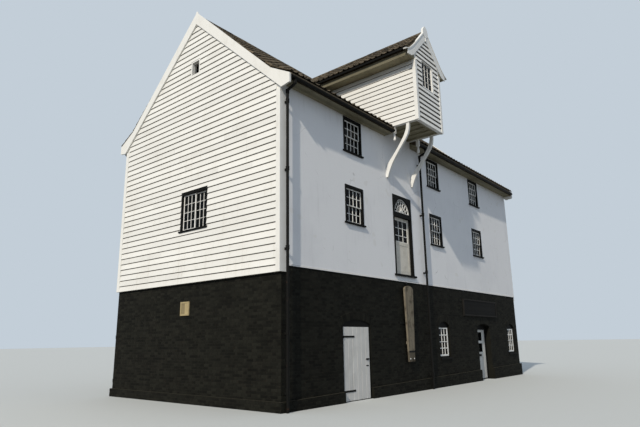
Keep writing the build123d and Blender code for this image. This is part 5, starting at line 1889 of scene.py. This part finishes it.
@dataclass
class PlankDoor(Assembly):
    """The yard door: six grey boards on three ledges, on two long strap hinges."""

    left: float = -5.295
    right: float = -4.087
    bottom: float = 0.012
    top: float = 1.965
    front: float = -0.020
    board: float = 0.026
    back: float = -0.065
    count: int = 6
    gap: float = 0.0012
    chamfer: float = 0.010
    ledges: tuple[float, ...] = (0.270, 0.990, 1.700)
    ledge_half: float = 0.075
    ledge_end: float = 0.04
    straps: Flat = (0.270, 1.700)
    strap_bolts: tuple[float, ...] = (-5.215, -5.075, -4.935, -4.825)
    latch: Flat = (-4.192, 1.080)
    latch_bolt: float = 0.049
    latch_plate: Box = (-0.075, 0.045, -0.195, -0.165)
    plate_levels: Flat = (-0.001, 0.006)
    plate_chamfer: float = 0.0015
    skew: float = 0.006
    bolt_out: float = 0.0075
    bolt: Flat = (0.010, 0.006)
    ring_drop: float = 0.012
    ring_radii: Flat = (0.018, 0.028)
    ring_levels: Flat = (0.0065, 0.016)

    def build(self) -> None:
        """Makes the leaf and the bolts of its hinges and latch."""
        draft, rng = Draft(), random.Random(91)
        width, behind = (self.right - self.left) / self.count, self.front - self.board
        for i in range(self.count):
            start = self.left + i * width
            bottom = self.bottom + rng.uniform(0, self.skew)
            outline = rectangle(start + self.gap, start + width - self.gap, bottom, self.top)
            draft.slab(FRONT_FACE, outline, behind, self.front, self.chamfer, rng.uniform(-1, 1))
        ends = (self.left + self.ledge_end, self.right - self.ledge_end)
        for height in self.ledges:
            ledge = rectangle(*ends, height - self.ledge_half, height + self.ledge_half)
            draft.slab(FRONT_FACE, ledge, self.back, behind)
        self.shop.plain(draft, "plank_door_leaf", Slot.GREY_PLANKS, "plank_door", ("plank_door",))
        middle, height = self.latch
        places = [(s, t) for t in self.straps for s in self.strap_bolts]
        places += [(middle + s, height) for s in (-self.latch_bolt, self.latch_bolt)]
        spots = [Spot(FRONT_FACE.place(s, t, self.front + self.bolt_out)) for s, t in places]
        self.shop.scatter(bolt_head(*self.bolt), spots, "plank_door_bolts", Slot.IRON, "plank_door")
        latch = Draft()
        west, east, under, over = self.latch_plate
        plate = rectangle(middle + west, middle + east, height + under, height + over)
        plate_levels, ring_levels = (
            tuple(self.front + level for level in levels) for levels in (self.plate_levels, self.ring_levels)
        )
        latch.slab(FRONT_FACE, plate, *plate_levels, self.plate_chamfer)
        latch.bend(FRONT_FACE, (middle, height - self.ring_drop), self.ring_radii, ring_levels, *RING)
        self.shop.plain(latch, "plank_door_latch", Slot.IRON, "plank_door")


@dataclass
class GlazedDoor(Assembly):
    """The mill door: framed, with two panes over a letter plate and a sunk panel."""

    left: float = 3.495
    right: float = 4.595
    bottom: float = 0.045
    top: float = 1.940
    front: float = -0.235
    back: float = -0.280
    chamfer: float = 0.004
    inner: Flat = (3.725, 4.365)
    panes: tuple[Flat, ...] = ((1.050, 1.420), (1.490, 1.860))
    panel: Flat = (0.270, 0.850)
    sunk: float = 0.014
    panel_back: float = 0.01
    field_edge: float = 0.055
    field_levels: Flat = (-0.002, 0.008)
    field_chamfer: float = 0.007
    bead: float = 0.016
    bead_levels: Flat = (0.020, 0.005)
    glass: float = 0.004
    # Outline, back and front, out of the leaf, of the letter plate, its flap and the lock plate.
    plates: tuple[tuple[Box, float, float], ...] = (
        ((3.895, 4.195, 0.895, 0.985), -0.001, 0.004),
        ((3.917, 4.173, 0.913, 0.967), 0.003, 0.0065),
        ((3.560, 3.600, 0.870, 1.010), -0.001, 0.003),
    )
    plate_chamfer: float = 0.001
    knob_place: Flat = (3.580, 0.965)
    knob_out: float = 0.002
    knob: tuple[float, float, int] = (0.026, 0.048, 14)
    knob_crease: float = 70.0

    def leaf(self) -> None:
        """Makes the leaf and its panes."""
        draft, glass, front = Draft(), Draft(), self.front
        inner, (low_pane, high_pane) = self.inner, self.panes
        for part in (
            (self.left, inner[0], self.bottom, self.top),
            (inner[1], self.right, self.bottom, self.top),
            (*inner, self.bottom, self.panel[0]),
            (*inner, self.panel[1], low_pane[0]),
            (*inner, low_pane[1], high_pane[0]),
            (*inner, high_pane[1], self.top),
        ):
            draft.slab(FRONT_FACE, rectangle(*part), self.back, front, self.chamfer)
        sunk, panel = front - self.sunk, rectangle(*inner, *self.panel)
        draft.slab(FRONT_FACE, panel, self.back + self.panel_back, sunk)
        levels = (sunk + level for level in self.field_levels)
        draft.slab(FRONT_FACE, inset(panel, self.field_edge), *levels, self.field_chamfer)
        middle = (front + self.back) / 2
        for heights in self.panes:
            hole = rectangle(*inner, *heights)
            for outline in cut_out([hole], inset(hole, self.bead)):
                draft.slab(FRONT_FACE, outline, *(front - level for level in self.bead_levels))
            glass.slab(FRONT_FACE, hole, middle - self.glass / 2, middle + self.glass / 2)
        self.shop.plain(draft, "glazed_door_leaf", Slot.PALE_LEAF, "glazed_door", ("glazed_door",))
        self.shop.plain(glass, "glazed_door_panes", Slot.GLASS, "glazed_door", ("glazed_door_glass",))

    def build(self) -> None:
        """Makes the leaf, the letter plate, the lock plate and the knob."""
        self.leaf()
        fittings, front = Draft(), self.front
        for box, back, out in self.plates:
            fittings.slab(FRONT_FACE, rectangle(*box), front + back, front + out, self.plate_chamfer)
        self.shop.plain(fittings, "glazed_door_fittings", Slot.IRON, "glazed_door")
        spots, crease = [Spot(FRONT_FACE.place(*self.knob_place, front + self.knob_out))], self.knob_crease
        head = bolt_head(*self.knob)
        self.shop.scatter(head, spots, "glazed_door_knob", Slot.IRON, "glazed_door", crease=crease)


@dataclass
class RainGoods(Assembly):
    """Sockets on the downpipes and straps under the gutters."""

    pipes: tuple[float, ...] = (-7.645, -0.656)
    pipe_out: float = 0.120
    radius: float = 0.038
    wall: float = 0.004
    socket: float = 0.0130
    socket_height: float = 0.105
    socket_sides: int = 16
    heights: tuple[float, ...] = (0.460, 1.816, 3.850, 5.893, 7.765, 8.035)
    outlet: float = 8.222
    gutter_out: float = 0.390
    gutter_rim: float = 8.350
    strap_start: float = -7.65
    strap_span: float = 15.4
    strap_gap: float = 0.92
    strap_wide: float = 0.026
    strap_radii: Flat = (0.0605, 0.064)
    strap_sweep: Flat = (204, 336)
    strap_steps: int = 8
    lucam_break: Flat = (-2.85, -1.04)
    crease: float = 35.0

    def collar(self) -> Draft:
        """Draws a pipe socket with a bead at its mouth.

        Returns:
            The socket.
        """
        draft = Draft()
        inner, outer, half = self.radius - self.wall, self.radius + self.socket, self.socket_height / 2
        profile = [
            (inner, -half), (outer - 0.004, -half), (outer - 0.003, half - 0.022), (outer, half - 0.018),
            (outer, half - 0.004), (outer - 0.004, half), (inner, half),
        ]
        angles = [2 * math.pi * i / self.socket_sides for i in range(self.socket_sides)]
        rings = [[Vector((r * math.cos(a), r * math.sin(a), z)) for r, z in profile] for a in angles]
        rows = [draft.ring(ring, 0.0) for ring in rings]
        count = len(profile)
        for row, after in zip(rows, rows[1:] + rows[:1]):
            for j in range(count):
                k = (j + 1) % count
                draft.faces.append([row[j], after[j], after[k], row[k]])
        return draft

    def strap(self) -> Draft:
        """Draws a gutter strap round the half-round, in the plane across it.

        Returns:
            The strap.
        """
        draft = Draft()
        across = Face(Vector((0, 0, 0)), Vector((0, 1, 0)))
        half = self.strap_wide / 2
        draft.bend(across, (0.0, 0.0), self.strap_radii, (-half, half), self.strap_sweep, self.strap_steps)
        return draft

    def build(self) -> None:
        """Makes the sockets and straps."""
        sockets, straps = [], []
        first, last = self.lucam_break
        for side in (-1, 1):
            pipe, gutter = (side * (-FRONT + out) for out in (self.pipe_out, self.gutter_out))
            for x in self.pipes:
                sockets += [Spot(Vector((x, pipe, z))) for z in self.heights]
                sockets.append(Spot(Vector((x, gutter, self.outlet))))
            for i in range(int(self.strap_span / self.strap_gap) + 1):
                x = self.strap_start + i * self.strap_gap
                if side > 0 or not first < x < last:
                    straps.append(Spot(Vector((x, gutter, self.gutter_rim))))
        self.shop.scatter(self.collar(), sockets, "pipe_sockets", Slot.IRON, crease=self.crease)
        self.shop.scatter(self.strap(), straps, "gutter_straps", Slot.IRON, crease=self.crease)


@dataclass
class LucamTrim(Assembly):
    """The lucam's swept bargeboards under a capping, its finial, black strips under its eaves and bottom
    ledge.

    Places are measured out from the ridge line, and heights from the ground.
    """

    sweep: tuple[Flat, ...] = (
        (1.290, 10.850), (1.170, 10.921), (1.055, 11.010), (0.900, 11.150), (0.760, 11.290), (0.620, 11.440),
        (0.395, 11.680), (0.170, 11.920),
    )
    lower: tuple[Flat, ...] = (
        (1.290, 10.650), (1.170, 10.664), (1.055, 10.680), (0.940, 10.735), (0.760, 10.920), (0.560, 11.125),
        (0.290, 11.405), (0.000, 11.705),
    )
    tip: Flat = (1.440, 10.795)
    capping: float = 0.032
    cap_levels: Flat = (-0.060, 0.045)
    board_levels: Flat = (0.0, 0.030)
    # Tones of the bargeboards: the right leg lighter, the left darker and the capping lighter still, as
    # painted light and shade.
    leg_light_shade_tone: float = 0.2
    cap_highlight_tone: float = 0.5
    finial: tuple[Flat, ...] = (
        (0.0, 11.760), (0.172, 11.905), (0.172, 12.040), (0.146, 12.108), (0.100, 12.170), (0.050, 12.218),
        (0.0, 12.244),
    )
    finial_levels: Flat = (-0.030, 0.041)
    mitre: Box = (-0.022, 0.022, 11.650, 11.860)
    mitre_levels: Flat = (0.0, 0.045)
    chamfer: float = 0.004
    ledge_heights: Flat = (-0.030, 0.015)
    ledge_levels: Flat = (-0.060, 0.034)
    ledge_chamfer: float = 0.006
    fascia: Flat = (1.331, 1.346)
    fascia_heights: Flat = (10.822, 10.898)
    fascia_chamfer: float = 0.003
    box_face: Flat = (1.230, 1.236)
    box_heights: Flat = (10.645, 10.800)
    fascia_back: float = 1.120

    def barge(self) -> None:
        """Makes the bargeboards, their capping and the finial."""
        draft = Draft()
        for side in (1, -1):
            upper, lower, line = (
                [(side * s, t) for s, t in points][::side]
                for points in (self.sweep, self.lower, (self.tip, *self.sweep))
            )
            under = beside(upper, self.capping)
            # Painted light and shade: each leg and the capping get their own tone.
            draft.strip(LUCAM_FACE, lower, under, self.board_levels, self.leg_light_shade_tone * side)
            draft.strip(LUCAM_FACE, beside(line, self.capping), line, self.cap_levels, self.cap_highlight_tone)
        outline = list(self.finial) + [(-s, t) for s, t in self.finial[-2:0:-1]]
        draft.slab(LUCAM_FACE, outline, *self.finial_levels, self.chamfer)
        draft.slab(LUCAM_FACE, rectangle(*self.mitre), *self.mitre_levels, self.chamfer)
        self.shop.plain(draft, "lucam_barge_joinery", Slot.WHITE, instead_of=("lucam_bargeboards",))

    def build(self) -> None:
        """Makes the trim."""
        self.barge()
        draft = Draft()
        ledge = rectangle(-LUCAM_HALF, LUCAM_HALF, *(LUCAM_BOTTOM + height for height in self.ledge_heights))
        draft.slab(LUCAM_FACE, ledge, *self.ledge_levels, self.ledge_chamfer)
        self.shop.plain(draft, "lucam_ledge", Slot.WHITE)
        eaves_shade_strips, boxes = Draft(), Draft()
        for side in (-1, 1):
            middle = Face(Vector((LUCAM_X, 0, 0)), Vector((0, side, 0)))
            ends = sorted((side * LUCAM_FRONT, -side * self.fascia_back))
            outline = rectangle(*ends, *self.fascia_heights)
            eaves_shade_strips.slab(middle, outline, *self.fascia, self.fascia_chamfer)
            # The boxes' faces are darkened by a tone of minus one, as painted shade under the lucam's eaves.
            boxes.slab(middle, rectangle(*ends, *self.box_heights), *self.box_face, 0.0, -1.0)
        # These black strips under the tile edges are painted shade of the dark gap there.
        self.shop.plain(eaves_shade_strips, "lucam_fascias", Slot.BLACK)
        self.shop.plain(boxes, "lucam_eaves_boards", Slot.SOFFIT)


@dataclass
class CornerBoards(Assembly):
    """White boards at the corners of the weatherboarding, the side one over the front one's edge."""

    wide: float = 0.210
    side_wide: float = 0.110
    thick: float = 0.034
    side_thick: float = 0.036
    side_top: float = 8.098
    lucam_wide: float = 0.090
    lucam_thick: float = 0.032
    lucam_top: float = 10.643
    chamfer: float = 0.003

    def build(self) -> None:
        """Makes the boards."""
        draft = Draft()
        inner, depth = GABLE_FACE - self.wide, -FRONT
        covered, edge = depth + self.thick, depth - self.side_wide
        front, side = (SOFFIT, self.thick), (self.side_top, self.side_thick)
        for face, left, right, (top, thick) in (
            (FRONT_FACE, -GABLE_FACE, -inner, front),
            (LEFT_GABLE, edge, covered, side),
            (REAR_FACE, inner, GABLE_FACE, front),
            (LEFT_GABLE, -covered, -edge, side),
            (REAR_FACE, -GABLE_FACE, -inner, front),
            (RIGHT_GABLE, edge, covered, side),
            (RIGHT_GABLE, -depth, -edge, side),
        ):
            draft.slab(face, rectangle(left, right, BOARDS_BOTTOM, top), 0.0, thick, self.chamfer)
        self.shop.plain(draft, "wall_corner_boards", Slot.WHITE, instead_of=("corner_boards",))
        draft, depth = Draft(), -LUCAM_FRONT
        covered, edge, inner = depth + self.lucam_thick, depth - self.lucam_wide, LUCAM_HALF - self.lucam_wide
        for face, left, right in (
            (LUCAM_FACE, -LUCAM_HALF, -inner),
            (LUCAM_FACE, inner, LUCAM_HALF),
            (LUCAM_LEFT, edge, covered),
            (LUCAM_RIGHT, -covered, -edge),
        ):
            outline = rectangle(left, right, LUCAM_BOTTOM, self.lucam_top)
            draft.slab(face, outline, 0.0, self.lucam_thick, self.chamfer)
        self.shop.plain(draft, "lucam_corner_trim", Slot.WHITE, instead_of=("lucam_corner_boards",))


@dataclass
class EavesBoards(Assembly):
    """Narrow boards that line the main soffits, and the pointed finials of the end gables."""

    reach: float = 0.330
    rows: int = 3
    longest: float = 4.2
    shortest: float = 2.4
    thick: float = 0.008
    joint: float = 0.003
    chamfer: float = 0.002
    outer_row_shade: float = 0.3
    lucam_gap: float = 0.004
    finial: tuple[Flat, ...] = (
        (-0.055, 11.900), (0.055, 11.900), (0.048, 12.005), (0.0, 12.064), (-0.048, 12.005),
    )
    finial_levels: Flat = (0.012, 0.0594)
    finial_chamfer: float = 0.003

    def run(self, draft: Draft, face: Face, ends: Flat, rng: random.Random) -> None:
        """Lines one stretch of soffit.

        Args:
            draft: Gets the boards.
            face: The soffit, facing down.
            ends: First and last place along it.
            rng: Chance of the joints and tones.
        """
        width, gap = self.reach / self.rows, self.joint / 2
        for row in range(self.rows):
            start = ends[0]
            while start < ends[1]:
                end = start + rng.uniform(self.shortest, self.longest)
                if ends[1] - end < self.shortest / 2:
                    end = ends[1]
                board = rectangle(start + gap, end - gap, row * width + gap, (row + 1) * width - gap)
                # Rows further out from the wall are darker, as painted shade of the gutter.
                tone = rng.uniform(-1, 1) - self.outer_row_shade * row
                draft.slab(face, board, 0.0, self.thick, self.chamfer, tone)
                start = end

    def build(self) -> None:
        """Makes the boards and the finials."""
        draft, rng = Draft(), random.Random(57)
        front = Face(Vector((0, FRONT, SOFFIT)), Vector((1, 0, 0)), Vector((0, -1, 0)))
        rear = Face(Vector((0, -FRONT, SOFFIT)), Vector((-1, 0, 0)), Vector((0, 1, 0)))
        half = LUCAM_HALF + self.lucam_gap
        self.run(draft, front, (-GABLE_FACE, LUCAM_X - half), rng)
        self.run(draft, front, (LUCAM_X + half, GABLE_FACE), rng)
        self.run(draft, rear, (-GABLE_FACE, GABLE_FACE), rng)
        self.shop.plain(draft, "eaves_soffit_boards", Slot.SOFFIT)
        draft = Draft()
        for face in (LEFT_GABLE, RIGHT_GABLE):
            draft.slab(face, list(self.finial), *self.finial_levels, self.finial_chamfer)
        self.shop.plain(draft, "gable_finials", Slot.WHITE)


@dataclass
class RubbingBoard(Assembly):
    """The board that kept hoisted sacks off the wall: three oak planks with a rounded head, bolted on.

    The irons of the wall above and beside it are made with it.
    """

    middle: float = -1.915
    half: float = 0.260
    foot_half: float = 0.170
    bottom: float = 0.920
    shoulder: float = 3.150
    top: float = 3.290
    back: float = 0.060
    front: float = 0.120
    flatness: float = 0.8
    head_steps: int = 14
    chamfer: float = 0.007
    edges: tuple[float, ...] = (-1.0, -0.100, 0.103, 1.0)
    tones: Triple = (-0.17, 0.2, 0.0)
    gap: float = 0.0015
    worn_below: float = 1.235
    worn: float = 0.004
    ledgers: tuple[float, ...] = (1.500, 2.850)
    ledger: Flat = (0.150, 0.045)
    ledger_back: float = 0.0055
    # Outline, back, front and chamfer of the band round the foot, the side iron and the eye's staple.
    irons: tuple[tuple[Box, float, float, float], ...] = (
        ((-2.093, -1.737, 1.205, 1.255), 0.116, 0.121, 0.0),
        ((-2.425, -2.130, 2.095, 2.130), 0.004, 0.030, 0.004),
        ((-1.945, -1.885, 3.385, 3.420), 0.0, 0.050, 0.004),
    )
    eye: Flat = (-1.915, 3.340)
    eye_radii: Flat = (0.032, 0.044)
    eye_levels: Flat = (0.030, 0.044)
    bolts: tuple[Flat, ...] = ((-2.030, 1.010), (-1.800, 1.010))
    bolt: tuple[float, float, int] = (0.022, 0.010, 12)
    bolt_sunk: float = 0.001

    def outline(self) -> Outline:
        """Lists the outline of the whole board.

        Returns:
            The outline, with the head's curve last.
        """
        middle, half, rise = self.middle, self.half, self.top - self.shoulder
        angles = [math.pi * i / self.head_steps for i in range(self.head_steps)]
        head = [
            (middle + half * math.cos(a), self.shoulder + rise * math.sin(a) ** self.flatness) for a in angles
        ]
        foot = [(middle - self.foot_half, self.bottom), (middle + self.foot_half, self.bottom)]
        return foot + head + [(middle - half, self.shoulder)]

    def build(self) -> None:
        """Makes the board, its band and bolts."""
        middle, worn = self.middle, self.worn_below
        draft, outline = Draft(), self.outline()
        for low, high, tone in zip(self.edges, self.edges[1:], self.tones):
            plank = between(outline, middle + low + self.gap, middle + high - self.gap)
            upper, foot = clip(plank, (0.0, worn), (1.0, worn)), clip(plank, (1.0, worn), (0.0, worn))
            draft.slab(FRONT_FACE, upper, self.back, self.front, self.chamfer, tone)
            draft.slab(FRONT_FACE, foot, self.back, self.front - self.worn, self.chamfer, -1.0)
        across, up = self.ledger
        for height in self.ledgers:
            ledger = rectangle(middle - across, middle + across, height - up, height + up)
            draft.slab(FRONT_FACE, ledger, self.ledger_back, self.back)
        self.shop.plain(draft, "rubbing_planks", Slot.OAK, instead_of=("rub_board",))
        irons = Draft()
        for box, back, front, chamfer in self.irons:
            irons.slab(FRONT_FACE, rectangle(*box), back, front, chamfer)
        irons.bend(FRONT_FACE, self.eye, self.eye_radii, self.eye_levels, *RING)
        self.shop.plain(irons, "front_wall_irons", Slot.IRON)
        spots = [Spot(FRONT_FACE.place(s, t, self.front - self.bolt_sunk)) for s, t in self.bolts]
        self.shop.scatter(bolt_head(*self.bolt), spots, "rubbing_board_bolts", Slot.WHITE)


@dataclass
class WallBoards(Assembly):
    """The bare sign board in its raised frame and the small hatch in the end wall."""

    gap: float = 0.001
    board_chamfer: float = 0.002
    sign_edge: float = 0.055
    sign_deep: float = 0.040
    sign_frame_deep: float = 0.060
    sign_chamfer: float = 0.012
    sign_tones: Triple = (-0.08, 0.08, -0.03)
    # The frame is lighter than the boards as painted highlight.
    sign_frame_highlight_tone: float = 1.0
    bolt: tuple[float, float, int] = (0.009, 0.004, 8)
    bolt_in: float = 0.028
    bolt_span: float = 1.07
    bolt_sunk: float = 0.001
    hatch_edge: float = 0.045
    hatch_deep: float = 0.035
    hatch_boards_deep: float = 0.025
    hatch_chamfer: float = 0.004
    # The left board is darker as painted shade.
    hatch_shade_tones: Flat = (-0.9, 0.5)
    hatch_frame_tone: float = 0.2

    def mitred(
        self, draft: Draft, face: Face, box: Box, edge: float, front: float, chamfer: float, tone: float
    ) -> None:
        """Adds a frame of four mitred strips.

        Args:
            draft: Gets the strips.
            face: The wall.
            box: Left, right, bottom and top.
            edge: Width of the strips.
            front: Their front, out of the wall.
            chamfer: Their chamfer.
            tone: How light they are.
        """
        outer = rectangle(*box)
        inner = inset(outer, edge)
        for i in range(4):
            j = (i + 1) % 4
            draft.slab(face, [outer[i], outer[j], inner[j], inner[i]], 0.0, front, chamfer, tone)

    def sign(self) -> None:
        """Makes the sign board and its bolts."""
        draft = Draft()
        self.mitred(
            draft, FRONT_FACE, SIGN_BOX, self.sign_edge, self.sign_frame_deep, self.sign_chamfer,
            self.sign_frame_highlight_tone,
        )
        left, right, bottom, top = SIGN_BOX
        low, high = bottom + self.sign_edge, top - self.sign_edge
        width = (high - low) / len(self.sign_tones)
        for i, tone in enumerate(self.sign_tones):
            start = low + i * width
            ends = (left + self.sign_edge, right - self.sign_edge)
            board = rectangle(*ends, start + self.gap, start + width - self.gap)
            draft.slab(FRONT_FACE, board, 0.0, self.sign_deep, self.board_chamfer, tone)
        self.shop.plain(draft, "sign_boards", Slot.SIGN, instead_of=("sign_board",))
        inset_by, span = self.bolt_in, self.bolt_span
        spots = [
            Spot(FRONT_FACE.place(s, t, self.sign_frame_deep - self.bolt_sunk))
            for s in (left + inset_by, left + span, right - span, right - inset_by)
            for t in (bottom + inset_by, top - inset_by)
        ]
        self.shop.scatter(bolt_head(*self.bolt), spots, "sign_bolts", Slot.IRON)

    def hatch(self) -> None:
        """Makes the hatch."""
        draft = Draft()
        left, right, bottom, top = HATCH_BOX
        width = (right - left) / len(self.hatch_shade_tones)
        for i, tone in enumerate(self.hatch_shade_tones):
            start = left + i * width
            board = rectangle(start + self.gap, start + width - self.gap, bottom, top)
            draft.slab(LEFT_BRICK, board, 0.0, self.hatch_boards_deep, self.board_chamfer, tone)
        self.mitred(
            draft, LEFT_BRICK, HATCH_BOX, self.hatch_edge, self.hatch_deep, self.hatch_chamfer,
            self.hatch_frame_tone,
        )
        self.shop.plain(draft, "end_hatch_boards", Slot.CREAM, instead_of=("end_wall_hatch",))

    def build(self) -> None:
        """Makes both boards."""
        self.sign()
        self.hatch()


@dataclass
class Studio:
    """A pale floor, a pale background, one soft key lamp from the left and an even fill."""

    eye: Triple = (-16.944, -12.579, 1.600)
    heading: float = 50.36
    tilt: float = 13.63
    roll: float = -0.904
    focal_pixels: float = 525.13
    image_width: float = 640.0
    sensor: float = 36.0
    farthest: float = 2000.0
    sun_way: Triple = (3.9, 1.0, -3.05)
    sun_strength: float = 2.92
    sun_spread: float = 1.2
    sun_colour: str = "#fff6e6"
    fill: float = 0.65
    fill_colour: str = "#d4e3f5"
    seen_colour: str = "#c3ced8"
    floor_colour: str = "#bfc1bf"
    floor_half: float = 300.0
    floor_rough: Flat = (0.8, 0.9)

    def camera(self) -> None:
        """Puts the camera where the photograph was taken."""
        yaw, pitch, roll = (math.radians(a) for a in (self.heading, self.tilt, self.roll))
        ahead = Vector((math.sin(yaw) * math.cos(pitch), math.cos(yaw) * math.cos(pitch), math.sin(pitch)))
        right = Vector((math.cos(yaw), -math.sin(yaw), 0.0))
        above = right.cross(ahead)
        across = right * math.cos(roll) + above * math.sin(roll)
        over = above * math.cos(roll) - right * math.sin(roll)
        data = bpy.data.cameras.new("camera")
        data.sensor_width = self.sensor
        data.lens = self.focal_pixels * self.sensor / self.image_width
        data.clip_end = self.farthest
        made = add_object("camera", data)
        rows = [(across[i], over[i], -ahead[i]) for i in range(3)]
        made.matrix_world = Matrix.Translation(self.eye) @ Matrix(rows).to_4x4()
        bpy.context.scene.camera = made

    def lamp(self) -> None:
        """Hangs the key lamp."""
        data = bpy.data.lights.new("key", "SUN")
        data.energy = self.sun_strength
        data.angle = math.radians(self.sun_spread)
        data.color = linear(self.sun_colour)[:3]
        made = add_object("key", data)
        made.rotation_euler = Vector(self.sun_way).to_track_quat("-Z", "Y").to_euler()

    def surroundings(self) -> None:
        """Lights the object evenly and shows a pale background behind it."""
        world = bpy.data.worlds.new("studio")
        world.use_nodes = True
        tree = world.node_tree
        tree.nodes.clear()
        light, shown = (
            add_node(tree, "ShaderNodeBackground", {"Color": linear(colour), "Strength": strength}).outputs[0]
            for colour, strength in ((self.fill_colour, self.fill), (self.seen_colour, 1.0))
        )
        both = add_node(tree, "ShaderNodeMixShader", {}, {0: looked_at(tree), 1: light, 2: shown})
        add_node(tree, "ShaderNodeOutputWorld", {}, {"Surface": both.outputs[0]})
        bpy.context.scene.world = world

    def floor(self) -> None:
        """Lays the floor."""
        half, colour = self.floor_half, self.floor_colour
        mesh = bpy.data.meshes.new("studio_floor")
        mesh.from_pydata([(s, t, 0) for s, t in rectangle(-half, half, -half, half)], [], [(0, 1, 2, 3)])
        finish = StudioFloor("pale studio floor", colour, colour, colour, rough=self.floor_rough)
        mesh.materials.append(finish.material())
        made = add_object("studio_floor", mesh)

    def build(self) -> None:
        """Sets up the studio."""
        self.floor()
        self.surroundings()
        self.lamp()
        self.camera()
        bpy.context.scene.view_settings.view_transform = "Standard"


def main() -> None:
    """Builds every sub-assembly in order and reports it."""
    logging.basicConfig(level=logging.INFO, format="%(name)s: %(message)s")
    shop = Workshop()
    for assembly in (
        PaintedNodes, Weatherboards, Brickwork, Pantiles, RidgeTiles, Sashes, LucamWindow, LoadingDoor,
        PlankDoor, GlazedDoor, RainGoods, LucamTrim, CornerBoards, EavesBoards, RubbingBoard, WallBoards,
    ):
        log.info("building %s", assembly.__name__)
        assembly(shop).build()
    Studio().build()
    log.info("%d triangles added", shop.count)


if __name__ == "__main__":
    main()
